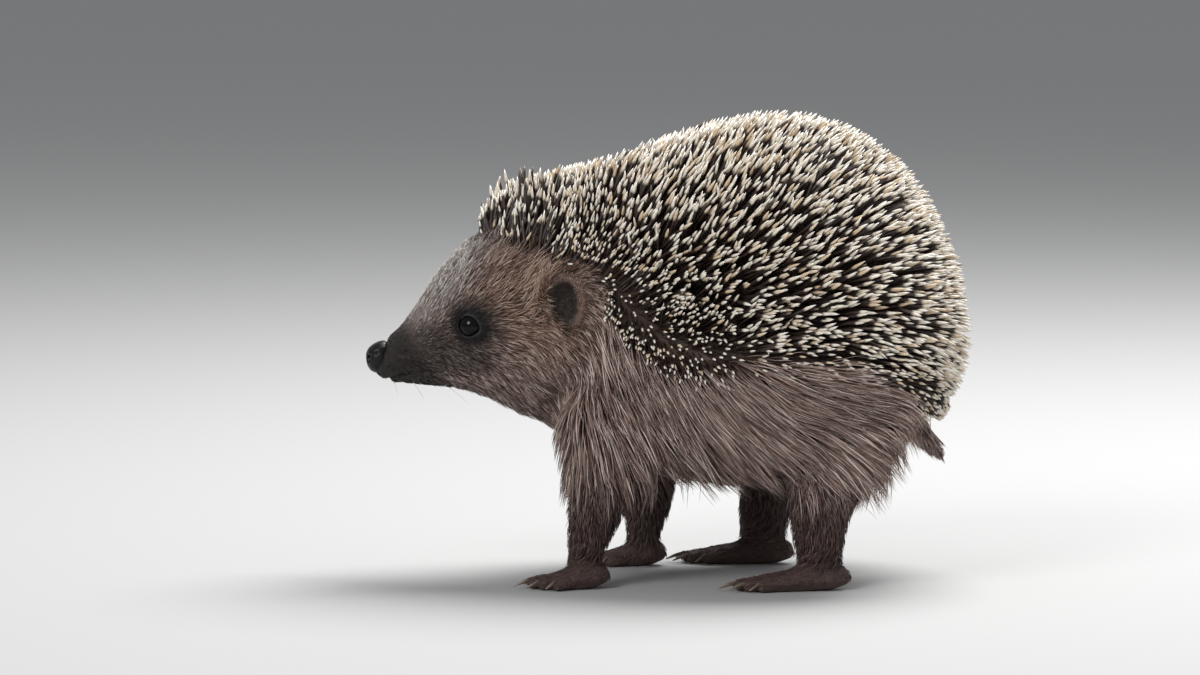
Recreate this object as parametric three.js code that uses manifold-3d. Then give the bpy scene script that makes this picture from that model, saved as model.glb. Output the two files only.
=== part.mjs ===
// A life-size hedgehog in mid walk, as a still museum model. Millimetres, +Z up, nose towards -X,
// the animal's left side towards -Y. The origin lies on the floor under the middle of the whole model.
// Every surface stands at the reach of the coat: the tips of the spines on the back, of the hair elsewhere.
import * as THREE from "three";
import { mergeVertices } from "three/addons/utils/BufferGeometryUtils.js";
import Module from "manifold-3d";

const wasm = await Module();
wasm.setup();

// Driving dimensions.
const length = 190; // nose tip to the spine tips of the rump
const height = 146.7; // floor to the spine tips of the arched back
const width = 115; // over the spines of the flanks
const gap = 0.3; // between pieces that meet
const soleSink = 0.9; // how far a foot form passes the floor before its flats are cut

const noseX = -length / 2;
const rumpX = length / 2;
const halfWidth = width / 2;

// Named places, shared by several pieces.
const eye = { x: -61.3, y: 16.2, z: 80.4, radius: 4 };
const ear = { x: -31, y: 29.5, z: 88.5 };

const axes = {
  x: new THREE.Vector3(1, 0, 0),
  y: new THREE.Vector3(0, 1, 0),
  z: new THREE.Vector3(0, 0, 1),
};

const materials = {
  spines: new THREE.MeshStandardMaterial({ color: 0x8a7f72, roughness: 0.55, metalness: 0 }),
  fur: new THREE.MeshStandardMaterial({ color: 0x85776e, roughness: 0.85, metalness: 0 }),
  darkFur: new THREE.MeshStandardMaterial({ color: 0x3b3430, roughness: 0.8, metalness: 0 }),
  skin: new THREE.MeshStandardMaterial({ color: 0x4a4040, roughness: 0.6, metalness: 0 }),
  nose: new THREE.MeshStandardMaterial({ color: 0x141212, roughness: 0.3, metalness: 0 }),
  eye: new THREE.MeshStandardMaterial({ color: 0x08080a, roughness: 0.08, metalness: 0 }),
  claw: new THREE.MeshStandardMaterial({ color: 0x6b5a4a, roughness: 0.45, metalness: 0 }),
};

// Shaping helpers.

function solidOf(geometry) {
  const bare = new THREE.BufferGeometry();
  const loose = geometry.index ? geometry.toNonIndexed() : geometry;
  bare.setAttribute("position", loose.getAttribute("position"));
  const merged = mergeVertices(bare, 1e-4);
  return new wasm.Manifold(
    new wasm.Mesh({
      numProp: 3,
      vertProperties: new Float32Array(merged.attributes.position.array),
      triVerts: new Uint32Array(merged.index.array),
    }),
  );
}

function geometryOf(solid) {
  const mesh = solid.getMesh();
  const places = new Float32Array(mesh.numVert * 3);
  for (let i = 0; i < mesh.numVert; i++) {
    places.set(mesh.vertProperties.subarray(i * mesh.numProp, i * mesh.numProp + 3), i * 3);
  }
  const geometry = new THREE.BufferGeometry();
  geometry.setAttribute("position", new THREE.BufferAttribute(places, 3));
  geometry.setIndex(new THREE.BufferAttribute(mesh.triVerts, 1));
  geometry.computeVertexNormals();
  return geometry;
}

// A closed rounded form that runs along one axis through stations. A station gives its centre (at) and its
// half sizes: over and under along the up direction, side across it. The first and last stations are the
// two ends, and only their places count. A square above 2 fills the corners of the section, and squareUnder
// does so for its lower half. grow moves the whole surface out.
function form({ stations, axis = "x", up = "z", around, along, square = 2, squareUnder = square, grow = 0 }) {
  const main = axes[axis];
  const upward = axes[up];
  const across = upward.clone().cross(main.clone().negate());
  const first = stations[0].at;
  const last = stations[stations.length - 1].at;
  const start = new THREE.Vector3(...first).dot(main) - grow;
  const end = new THREE.Vector3(...last).dot(main) + grow;
  const roundness = (m) => Math.sqrt(Math.max(1 - (1 - (2 * (m - start)) / (end - start)) ** 2, 0));
  const inner = stations.slice(1, -1).map((s) => {
    const m = new THREE.Vector3(...s.at).dot(main);
    const round = roundness(m);
    return [m, (s.over + grow) / round, (s.under + grow) / round, (s.side + grow) / round];
  });
  const sizeAt = new THREE.CubicInterpolant(
    new Float32Array(inner.map((row) => row[0])),
    new Float32Array(inner.flatMap((row) => row.slice(1))),
    3,
  );
  const centreAt = new THREE.CubicInterpolant(
    new Float32Array(stations.map((s) => new THREE.Vector3(...s.at).dot(main))),
    new Float32Array(stations.flatMap((s) => s.at)),
    3,
  );
  const geometry = new THREE.SphereGeometry(1, around, along);
  const place = geometry.getAttribute("position");
  const vertex = new THREE.Vector3();
  const made = new THREE.Vector3();
  for (let i = 0; i < place.count; i++) {
    vertex.fromBufferAttribute(place, i);
    const round = Math.hypot(vertex.x, vertex.z);
    const m = start + ((end - start) * (1 - vertex.y)) / 2;
    const [over, under, side] = sizeAt.evaluate(m);
    const power = 2 / (vertex.x > 0 ? square : squareUnder);
    const radial = (part) => Math.sign(part) * Math.abs(part / Math.max(round, 1e-9)) ** power;
    const cosine = round > 1e-6 ? radial(vertex.x) : 0;
    const sine = round > 1e-6 ? radial(vertex.z) : 0;
    made.fromArray(centreAt.evaluate(m));
    made.addScaledVector(main, m - made.dot(main));
    made.addScaledVector(upward, round * cosine * (cosine > 0 ? over : under));
    made.addScaledVector(across, round * sine * side);
    place.setXYZ(i, made.x, made.y, made.z);
  }
  return solidOf(geometry);
}

// An outline in the XZ plane carried right through the body.
function through(points) {
  const shape = new THREE.Shape(points);
  const reach = width + 20;
  const geometry = new THREE.ExtrudeGeometry(shape, { depth: reach, bevelEnabled: false });
  geometry.rotateX(Math.PI / 2).translate(0, reach / 2, 0);
  return solidOf(geometry);
}

// A thin cut along a smooth line in the XZ plane.
function cutAlong(points, steps = 16) {
  const line = new THREE.SplineCurve(points.map(([x, z]) => new THREE.Vector2(x, z)));
  const middle = line.getPoints(steps);
  const sideways = middle.map((_, i) => {
    const tangent = line.getTangent(i / steps);
    return new THREE.Vector2(-tangent.y, tangent.x).multiplyScalar(gap / 2);
  });
  const oneSide = middle.map((p, i) => p.clone().add(sideways[i]));
  const otherSide = middle.map((p, i) => p.clone().sub(sideways[i])).reverse();
  return through([...oneSide, ...otherSide]);
}

function box(x0, x1, y0, y1, z0, z1) {
  const geometry = new THREE.BoxGeometry(x1 - x0, y1 - y0, z1 - z0);
  return solidOf(geometry.translate((x0 + x1) / 2, (y0 + y1) / 2, (z0 + z1) / 2));
}

const ball = (place, radius) =>
  solidOf(new THREE.SphereGeometry(radius, 14, 7).translate(place.x, place.y, place.z));

const moved = (solid, matrix) => solid.transform(Array.from(matrix.elements));

const mirrored = (solid) => solid.mirror([0, 1, 0]);

const biggest = (solid) => solid.decompose().sort((a, b) => b.volume() - a.volume())[0];

// The pieces of a cut solid, from the nose backwards.
function fromTheNose(solid) {
  const middle = (s) => (s.boundingBox().min[0] + s.boundingBox().max[0]) / 2;
  return solid
    .decompose()
    .filter((s) => s.volume() > 1)
    .sort((a, b) => middle(a) - middle(b));
}

// Body.

// Sections of the trunk, front to back: top of the back, level of the widest point, underline, half width.
const trunkRows = [
  { x: -55, top: 120.5, widest: 110, bottom: 97, half: 0.25 },
  { x: -46, top: 127, widest: 101, bottom: 74, half: 0.41 },
  { x: -33, top: 129, widest: 91, bottom: 51, half: 0.56 },
  { x: -16, top: 133.5, widest: 82, bottom: 36, half: 0.74 },
  { x: 4, top: 140.8, widest: 77, bottom: 29.5, half: 0.89 },
  { x: 22, top: 145.6, widest: 74, bottom: 27.5, half: 0.97 },
  { x: 36, top: height, widest: 73, bottom: 28, half: 1 },
  { x: 51, top: 144.2, widest: 73, bottom: 31, half: 0.985 },
  { x: 66, top: 136.8, widest: 73, bottom: 37, half: 0.91 },
  { x: 80, top: 122.8, widest: 74, bottom: 47, half: 0.74 },
  { x: 89, top: 105, widest: 75, bottom: 57, half: 0.5 },
];
const crownTip = [-59.5, 0, 112.5];
const rumpTip = [rumpX, 0, 76];

function trunkForm(inset = 0) {
  const inner = trunkRows.map((row) => ({
    at: [row.x, 0, row.widest],
    over: row.top - row.widest - inset,
    under: row.widest - row.bottom - inset,
    side: row.half * halfWidth - inset,
  }));
  const ends = [
    { at: [crownTip[0] + inset, 0, crownTip[2]] },
    { at: [rumpTip[0] - inset, 0, rumpTip[2]] },
  ];
  return form({ stations: [ends[0], ...inner, ends[1]], around: 30, along: 20, square: 2.1, squareUnder: 2.7 });
}

// Sections of the head, from the tip of the muzzle back into the neck.
const headRows = [
  { x: -91, top: 73.3, widest: 68, bottom: 62.8, half: 5 },
  { x: -85, top: 78, widest: 69, bottom: 61.2, half: 7 },
  { x: -78.5, top: 87.3, widest: 71.5, bottom: 60.5, half: 10.4 },
  { x: -71, top: 98.4, widest: 75.5, bottom: 59.8, half: 15.2 },
  { x: -61.5, top: 108.2, widest: 79.5, bottom: 57.8, half: 20.2 },
  { x: -51, top: 114.5, widest: 82, bottom: 53.5, half: 24.2 },
  { x: -39, top: 118, widest: 82.5, bottom: 47.5, half: 28 },
  { x: -28, top: 117, widest: 80, bottom: 44.5, half: 32 },
];

function headForm(grow = 0) {
  const inner = headRows.map((row) => ({
    at: [row.x, 0, row.widest],
    over: row.top - row.widest,
    under: row.widest - row.bottom,
    side: row.half,
  }));
  const tip = { at: [noseX + 1.2, 0, 68] };
  const back = { at: [-10, 0, 76] };
  return form({ stations: [tip, ...inner, back], around: 22, along: 18, square: 2.1, grow });
}

// Lower edge of the spiny mantle, from the forehead over the ear and along the flank to the rump.
const mantleEdge = [
  [-60.6, 108.5],
  [-52, 104],
  [-38, 101.5],
  [-25, 98.5],
  [-15, 86.5],
  [-3, 74.5],
  [12, 69.5],
  [44, 66.8],
  [68, 63],
  [99, 51.5],
];

// All that lies above the mantle's edge, which can be shifted down to leave a gap.
function aboveEdge(shift = 0) {
  const line = new THREE.SplineCurve(mantleEdge.map(([x, z]) => new THREE.Vector2(x, z - shift)));
  const frontX = mantleEdge[0][0] - 1.2 - shift;
  const overTop = height + 20;
  return through([
    ...line.getPoints(30),
    new THREE.Vector2(mantleEdge.at(-1)[0], overTop),
    new THREE.Vector2(frontX, overTop),
    new THREE.Vector2(frontX, mantleEdge[0][1] - shift),
  ]);
}

const hemInset = 2.5; // how far the spines stand out over the hair below them
const mantle = biggest(trunkForm().intersect(aboveEdge()));
const furred = trunkForm(hemInset).add(headForm()).subtract(aboveEdge(gap));

// The lines that part the furred body, each from above to below.
const muzzleLine = [[-77.5, 100], [-79.5, 80], [-81, 50]];
const cheekLine = [[-19, 108], [-23, 95], [-31, 72], [-44, 52], [-52, 36]];
const shoulderLine = [[-3, 100], [-8, 80], [-15, 60], [-27, 40], [-38, 24]];
const mouthLine = [[-90, 58.5], [-85.5, 63.2], [-76, 66], [-64, 66.4], [-56, 60.5], [-52, 48]];

const [muzzleWhole, headWhole, neckWhole, trunkWhole] = fromTheNose(
  furred
    .subtract(cutAlong(muzzleLine))
    .subtract(cutAlong(cheekLine))
    .subtract(cutAlong(shoulderLine)),
);

// Head pieces.

// The nose pad: a broad rounded wedge that overhangs the mouth.
function nosePad(grow = 0) {
  const stations = [
    { at: [noseX, 0, 69] },
    { at: [noseX + 1.2, 0, 69.2], over: 3, under: 2.6, side: 3.6 },
    { at: [noseX + 3.6, 0, 69.6], over: 4.3, under: 3.6, side: 4.8 },
    { at: [noseX + 6, 0, 70], over: 4.6, under: 3.4, side: 4.4 },
    { at: [noseX + 9, 0, 70] },
  ];
  return form({ stations, around: 12, along: 8, square: 2.2, grow });
}

const nostril = (sideSign) =>
  form({
    stations: [
      { at: [noseX - 2, sideSign * 2.2, 69] },
      { at: [noseX, sideSign * 2.2, 69.1], over: 0.9, under: 0.7, side: 0.9 },
      { at: [noseX + 2.2, sideSign * 2.8, 69.3] },
    ],
    around: 6,
    along: 5,
  });

const nose = nosePad().subtract(nostril(1)).subtract(nostril(-1));

// An ear: a rounded thin cup whose hollow looks forwards and outwards.
const earTurn = new THREE.Matrix4()
  .makeTranslation(ear.x, -ear.y, ear.z)
  .multiply(new THREE.Matrix4().makeRotationZ(THREE.MathUtils.degToRad(-22)))
  .multiply(new THREE.Matrix4().makeRotationY(THREE.MathUtils.degToRad(10)))
  .multiply(new THREE.Matrix4().makeRotationX(THREE.MathUtils.degToRad(12)));

function earForm(grow = 0) {
  const stations = [
    { at: [0, 0, -9.5] },
    { at: [0, 0, -5.5], over: 5.6, under: 5.6, side: 3.2 },
    { at: [0, 0, 1], over: 7.8, under: 7.8, side: 3.8 },
    { at: [0, 0, 6.5], over: 6.4, under: 6.4, side: 3 },
    { at: [0, 0, 9.6] },
  ];
  return form({ stations, axis: "z", up: "x", around: 12, along: 8, grow });
}

function earHollow() {
  const stations = [
    { at: [0, -3.2, -6.5] },
    { at: [0, -3.2, 1], over: 5.9, under: 6, side: 4.6 },
    { at: [0, -3.2, 8] },
  ];
  return form({ stations, axis: "z", up: "x", around: 9, along: 6 });
}

const aboveEdgeForEars = aboveEdge(gap);
const earLeftWhole = moved(earForm().subtract(earHollow()), earTurn);
const earLeftSpace = moved(earForm(gap), earTurn);
const earLeft = biggest(earLeftWhole.subtract(aboveEdgeForEars));
const earSpaces = earLeftSpace.add(mirrored(earLeftSpace));

const eyePlace = (sideSign) => ({ x: eye.x, y: sideSign * eye.y, z: eye.z });
const eyeSockets = ball(eyePlace(1), eye.radius + gap).add(ball(eyePlace(-1), eye.radius + gap));

// The lower jaw is what the mouth line parts from the muzzle and head.
const mouthCut = cutAlong(mouthLine, 20);
const noseSpace = nosePad(gap);
const lowest = (solid) => solid.decompose().sort((a, b) => a.boundingBox().max[2] - b.boundingBox().max[2]);
const faceCut = headForm()
  .subtract(aboveEdge(gap))
  .subtract(cutAlong(cheekLine))
  .subtract(noseSpace)
  .subtract(mouthCut)
  .intersect(box(noseX - 5, -50, -40, 40, 30, 130));
const jaw = lowest(faceCut)[0];
const jawSpace = jaw.add(mouthCut);
const muzzle = biggest(muzzleWhole.subtract(noseSpace).subtract(jawSpace));
const head = biggest(headWhole.subtract(eyeSockets).subtract(earSpaces).subtract(jawSpace));
const neck = biggest(neckWhole.subtract(earSpaces));

// Legs and feet.

// Each leg: the sections of its form from the body down to the ankle, and where its foot stands.
const legs = {
  foreleg_left: {
    side: -1,
    rows: [
      { at: [-14, -24, 74] },
      { at: [-15, -29, 58], fore: 20, aft: 20, half: 14 },
      { at: [-18, -31, 42], fore: 15.5, aft: 16, half: 12.5 },
      { at: [-22, -30.5, 27], fore: 10, aft: 10.5, half: 9 },
      { at: [-25, -30, 14], fore: 7.2, aft: 7.4, half: 6.8 },
      { at: [-27, -30, 3] },
    ],
    foot: { heel: [-21, -30], turn: 6, kind: "fore" },
  },
  foreleg_right: {
    side: 1,
    rows: [
      { at: [-13, 24, 74] },
      { at: [-13, 29, 58], fore: 20, aft: 20, half: 14 },
      { at: [-10, 31, 42], fore: 15.5, aft: 16, half: 12.5 },
      { at: [-7, 30, 27], fore: 10, aft: 10.5, half: 9 },
      { at: [-7, 29, 14], fore: 7.2, aft: 7.4, half: 6.8 },
      { at: [-9, 29, 3] },
    ],
    foot: { heel: [-3, 29], turn: -7, kind: "fore" },
  },
  hindleg_left: {
    side: -1,
    rows: [
      { at: [64, -24, 76] },
      { at: [61, -31, 61], fore: 24, aft: 19, half: 17.5 },
      { at: [55, -35, 46], fore: 20, aft: 18, half: 15.5 },
      { at: [49, -35, 33], fore: 13.5, aft: 13, half: 12 },
      { at: [46, -34.5, 20], fore: 9.3, aft: 9.3, half: 9 },
      { at: [46.5, -34, 11], fore: 8.2, aft: 8.2, half: 8 },
      { at: [47, -34, 2] },
    ],
    foot: { heel: [53.5, -34], turn: 7, kind: "hind" },
  },
  hindleg_right: {
    side: 1,
    rows: [
      { at: [60, 24, 76] },
      { at: [56, 31, 61], fore: 24, aft: 20, half: 17.5 },
      { at: [47, 35, 46], fore: 20, aft: 19, half: 15.5 },
      { at: [37, 35, 33], fore: 13.5, aft: 13.5, half: 12 },
      { at: [31.5, 34.5, 20], fore: 9.3, aft: 9.3, half: 9 },
      { at: [31, 34, 11], fore: 8.2, aft: 8.2, half: 8 },
      { at: [31.5, 34, 2] },
    ],
    foot: { heel: [38, 34], turn: -7, kind: "hind" },
  },
};

// Feet: length of the palm behind the toes, half width at the toes, and per toe, from the inner one
// outwards, its spread in degrees, its length and its claw's length.
const footKinds = {
  fore: {
    palm: 14.5,
    half: 7.6,
    high: 8.6,
    toes: [
      { spread: -34, long: 6.2, claw: 4.2 },
      { spread: -17, long: 9.4, claw: 5.2 },
      { spread: 0, long: 10.2, claw: 5.6 },
      { spread: 17, long: 9, claw: 5.2 },
      { spread: 34, long: 6, claw: 4.2 },
    ],
  },
  hind: {
    palm: 25,
    half: 6.9,
    high: 7.8,
    toes: [
      { spread: -32, long: 5.6, claw: 4.2 },
      { spread: -15, long: 9.6, claw: 6.2 },
      { spread: 0, long: 10.4, claw: 6.6 },
      { spread: 14, long: 9.4, claw: 6.2 },
      { spread: 29, long: 6.6, claw: 4.6 },
    ],
  },
};

// In a foot's own frame the heel is at the origin, the toes point along -X and the floor is z = 0.
function palmForm(kind) {
  const { palm, half, high } = kind;
  const stations = [
    { at: [-palm - 5, 0, 2.2] },
    { at: [-palm, 0, 2.4], over: 2.6, under: 2.4 + soleSink, side: half },
    { at: [-palm * 0.66, 0, 2.8], over: high * 0.5, under: 2.8 + soleSink, side: half * 0.88 },
    { at: [-palm * 0.34, 0, 3.2], over: high * 0.85, under: 3.2 + soleSink * 0.6, side: half * 0.78 },
    { at: [0, 0, 3.4], over: high * 0.6, under: 2.6, side: half * 0.6 },
    { at: [3, 0, 3.6] },
  ];
  return form({ stations, around: 8, along: 7 });
}

function toePlace(kind, toe) {
  const angle = THREE.MathUtils.degToRad(toe.spread);
  const knuckle = new THREE.Vector3(-kind.palm + 1 + Math.abs(toe.spread) * 0.09, 0, 0);
  knuckle.y = -Math.sin(angle) * kind.half * 1.32;
  return new THREE.Matrix4()
    .makeTranslation(knuckle.x, knuckle.y, 0)
    .multiply(new THREE.Matrix4().makeRotationZ(angle * 0.55));
}

function toeForm(toe, grow = 0) {
  const stations = [
    { at: [-toe.long, 0, 2.1] },
    { at: [-toe.long + 1.8, 0, 2], over: 1.9, under: 2 + soleSink * 0.7, side: 1.9 },
    { at: [-toe.long * 0.5, 0, 2.3], over: 2.1, under: 2.3 + soleSink * 0.4, side: 1.75 },
    { at: [0, 0, 2.6], over: 2, under: 2.2, side: 1.8 },
    { at: [2.5, 0, 2.6] },
  ];
  return form({ stations, around: 6, along: 4, grow });
}

function clawForm(toe) {
  const root = -toe.long + 1.6;
  const tip = root - toe.claw;
  const stations = [
    { at: [tip, 0, 0.75] },
    { at: [tip + toe.claw * 0.14, 0, 0.98], over: 0.34, under: 0.34, side: 0.3 },
    { at: [tip + toe.claw * 0.55, 0, 2.25], over: 0.72, under: 0.66, side: 0.56 },
    { at: [root, 0, 2.7], over: 0.95, under: 0.85, side: 0.75 },
    { at: [root + 1.4, 0, 2.6] },
  ];
  return form({ stations, around: 5, along: 4 });
}

const belowFloor = box(-110, 110, -80, 80, -20, 0);
const mantleSpace = trunkForm(-gap).intersect(aboveEdge(gap));
const bodySpace = trunkForm(hemInset - gap).add(mantleSpace).add(headForm(gap));

const pieces = []; // [name, solid, material]

function buildLeg(name, leg) {
  const kind = footKinds[leg.foot.kind];
  const stations = leg.rows
    .map((row) => ({ at: row.at, over: row.aft, under: row.fore, side: row.half }))
    .reverse();
  const limb = form({ stations, axis: "z", up: "x", around: 12, along: 11 });
  const placed = new THREE.Matrix4()
    .makeTranslation(leg.foot.heel[0], leg.foot.heel[1], 0)
    .multiply(new THREE.Matrix4().makeRotationZ(THREE.MathUtils.degToRad(leg.foot.turn)));
  const footName = name.replace("leg", "foot");
  const clawName = name.replace("leg", "claw");
  let foot = palmForm(kind);
  kind.toes.forEach((toe) => {
    const sided = { ...toe, spread: toe.spread * -leg.side };
    foot = foot.add(moved(toeForm(sided), toePlace(kind, sided)));
  });
  foot = moved(foot, placed).subtract(belowFloor);
  kind.toes.forEach((toe, i) => {
    const sided = { ...toe, spread: toe.spread * -leg.side };
    const at = placed.clone().multiply(toePlace(kind, sided));
    const claw = moved(clawForm(sided), at).subtract(moved(toeForm(sided, gap), at));
    pieces.push([`${clawName}_${i + 1}`, biggest(claw), materials.claw]);
  });
  const footSpace = moved(palmForm({ ...kind, half: kind.half + gap, high: kind.high + gap * 2 }), placed);
  const trimmed = limb
    .subtract(bodySpace)
    .subtract(footSpace)
    .subtract(foot)
    .subtract(box(-110, 110, -80, 80, -20, soleSink));
  pieces.push([name, biggest(trimmed), materials.fur]);
  pieces.push([footName, biggest(foot), materials.skin]);
}

Object.entries(legs).forEach(([name, leg]) => buildLeg(name, leg));

// Tail.

const tailForm = form({
  stations: [
    { at: [72, 0, 50] },
    { at: [77, 0, 47], over: 5.5, under: 5.5, side: 6 },
    { at: [84, 0, 41], over: 4, under: 4, side: 4.4 },
    { at: [89, 0, 35] },
  ],
  around: 10,
  along: 7,
});
const tail = biggest(tailForm.subtract(bodySpace));

// The model.

pieces.push(
  ["mantle", mantle, materials.spines],
  ["trunk", biggest(trunkWhole), materials.fur],
  ["neck", neck, materials.fur],
  ["head", head, materials.fur],
  ["muzzle", muzzle, materials.darkFur],
  ["jaw", jaw, materials.darkFur],
  ["nose", nose, materials.nose],
  ["ear_left", earLeft, materials.darkFur],
  ["ear_right", mirrored(earLeft), materials.darkFur],
  ["eye_left", ball(eyePlace(-1), eye.radius), materials.eye],
  ["eye_right", ball(eyePlace(1), eye.radius), materials.eye],
  ["tail", tail, materials.darkFur],
);

const hedgehog = new THREE.Group();
pieces.forEach(([name, solid, material]) => {
  const mesh = new THREE.Mesh(geometryOf(solid), material);
  mesh.name = name;
  hedgehog.add(mesh);
});

export default hedgehog;
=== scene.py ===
import math
import time

import bpy
import numpy as np
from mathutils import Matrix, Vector
from mathutils.bvhtree import BVHTree
from mathutils.kdtree import KDTree


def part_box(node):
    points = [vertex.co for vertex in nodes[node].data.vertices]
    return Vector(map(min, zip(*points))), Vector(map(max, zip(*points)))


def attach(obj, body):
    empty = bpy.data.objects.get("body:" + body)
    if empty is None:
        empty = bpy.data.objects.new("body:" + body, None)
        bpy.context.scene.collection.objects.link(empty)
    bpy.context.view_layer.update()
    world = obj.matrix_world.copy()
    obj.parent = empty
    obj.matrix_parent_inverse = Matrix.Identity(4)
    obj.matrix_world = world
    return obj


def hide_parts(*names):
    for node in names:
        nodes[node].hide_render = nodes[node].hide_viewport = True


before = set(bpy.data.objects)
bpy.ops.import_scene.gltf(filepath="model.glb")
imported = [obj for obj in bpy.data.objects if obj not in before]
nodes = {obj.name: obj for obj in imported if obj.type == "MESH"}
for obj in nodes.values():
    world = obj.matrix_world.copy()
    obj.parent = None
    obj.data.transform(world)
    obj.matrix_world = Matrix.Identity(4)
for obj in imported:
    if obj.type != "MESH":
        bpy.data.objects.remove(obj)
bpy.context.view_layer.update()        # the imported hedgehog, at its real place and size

mm = 0.001
startTime = time.time()


def say(text):
    print(f"{time.time() - startTime:6.1f} s  {text}", flush=True)


def deselectAll():
    if bpy.context.object and bpy.context.object.mode != "OBJECT":
        bpy.ops.object.mode_set(mode="OBJECT")
    bpy.ops.object.select_all(action="DESELECT")


def makeActive(piece):
    deselectAll()
    piece.select_set(True)
    bpy.context.view_layer.objects.active = piece


def middleOf(node):
    low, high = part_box(node)
    return np.array((low + high) / 2)


def readPoints(mesh):
    flat = np.empty(len(mesh.vertices) * 3)
    mesh.vertices.foreach_get("co", flat)
    return flat.reshape(-1, 3)


def writePoints(mesh, points):
    mesh.vertices.foreach_set("co", np.asarray(points, np.float32).ravel())
    mesh.update()


def readNormals(mesh):
    flat = np.empty(len(mesh.vertices) * 3)
    mesh.vertex_normals.foreach_get("vector", flat)
    return flat.reshape(-1, 3)


def readEdges(mesh):
    flat = np.empty(len(mesh.edges) * 2, np.int32)
    mesh.edges.foreach_get("vertices", flat)
    return flat.reshape(-1, 2)


def smoothStep(values, low, high):
    t = np.clip((np.asarray(values) - low) / (high - low), 0, 1)
    return t * t * (3 - 2 * t)


def unit(vectors):
    return vectors / np.maximum(np.linalg.norm(vectors, axis=-1, keepdims=True), 1e-12)


# Each point moves towards the average of its neighbours.
def relax(values, edges, share, times=1):
    first, second = edges.T
    size = len(values)
    neighbours = np.maximum(np.bincount(edges.ravel(), minlength=size), 1)
    grid = values.reshape(size, -1)
    share = np.broadcast_to(np.asarray(share, float), size)[:, None]
    for _ in range(times):
        total = np.stack([np.bincount(first, column[second], size) + np.bincount(second, column[first], size)
                          for column in grid.T], 1)
        grid = grid + share * (total / neighbours[:, None] - grid)
    return grid.reshape(values.shape)


# Lower edge of the spines, seen from the side: place along the body and height, in mm.
hemLine = np.array([[-64, 109], [-52, 104], [-38, 101.5], [-25, 98.5], [-15, 86.5], [-3, 74.5],
                    [12, 69.5], [44, 66.8], [68, 63], [99, 51.5]])


# how far above that edge the spines start, by place
hemShift = np.array([[-62, 0.5], [-54, -4], [-42, -7], [-25, -6.5], [-5, -4.5], [22, 3.0], [45, 1.5], [65, -2.5],
                     [90, -5]])


# Materials. Colours are given as the values seen on a screen.

def tint(red, green, blue):
    return tuple(c / 3294.6 if c <= 10 else ((c / 255 + 0.055) / 1.055) ** 2.4 for c in (red, green, blue)) + (1,)


# Adds a node. inputs may hold values or the sockets that feed them.
def put(tree, kind, inputs=None, **settings):
    node = tree.nodes.new(kind)
    for key, value in settings.items():
        setattr(node, key, value)
    for key, value in (inputs or {}).items():
        if isinstance(value, bpy.types.NodeSocket):
            tree.links.new(value, node.inputs[key])
        else:
            node.inputs[key].default_value = value
    return node


def stepMask(tree, value, low, high):
    spread = put(tree, "ShaderNodeMapRange", {"Value": value, "From Min": low, "From Max": high},
                 interpolation_type="SMOOTHSTEP")
    return spread.outputs["Result"]


# 1 inside an ellipsoid round the middle, fading to 0. All in mm.
def nearMask(tree, place, middle, radii, fade):
    offset = put(tree, "ShaderNodeVectorMath", {0: place, 1: [c * mm for c in middle]}, operation="SUBTRACT")
    scaled = put(tree, "ShaderNodeVectorMath", {0: offset.outputs[0], 1: [1 / (r * mm) for r in radii]},
                 operation="MULTIPLY")
    away = put(tree, "ShaderNodeVectorMath", {0: scaled.outputs[0]}, operation="LENGTH")
    return stepMask(tree, away.outputs["Value"], 1 + fade, 1)


def blend(tree, share, first, second, how="MIX"):
    mixed = put(tree, "ShaderNodeMix", {0: share, 6: first, 7: second}, data_type="RGBA", blend_type=how)
    return mixed.outputs[2]


def calculate(tree, how, first, second=0.0):
    return put(tree, "ShaderNodeMath", {0: first, 1: second}, operation=how, use_clamp=True).outputs[0]


def newGroup(name, inputs, outputs):
    group = bpy.data.node_groups.new(name, "ShaderNodeTree")
    kinds = {"vector": "NodeSocketVector", "value": "NodeSocketFloat", "colour": "NodeSocketColor"}
    for title, kind in inputs.items():
        group.interface.new_socket(name=title, in_out="INPUT", socket_type=kinds[kind])
    for title, kind in outputs.items():
        group.interface.new_socket(name=title, in_out="OUTPUT", socket_type=kinds[kind])
    return group, group.nodes.new("NodeGroupInput"), group.nodes.new("NodeGroupOutput")


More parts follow.
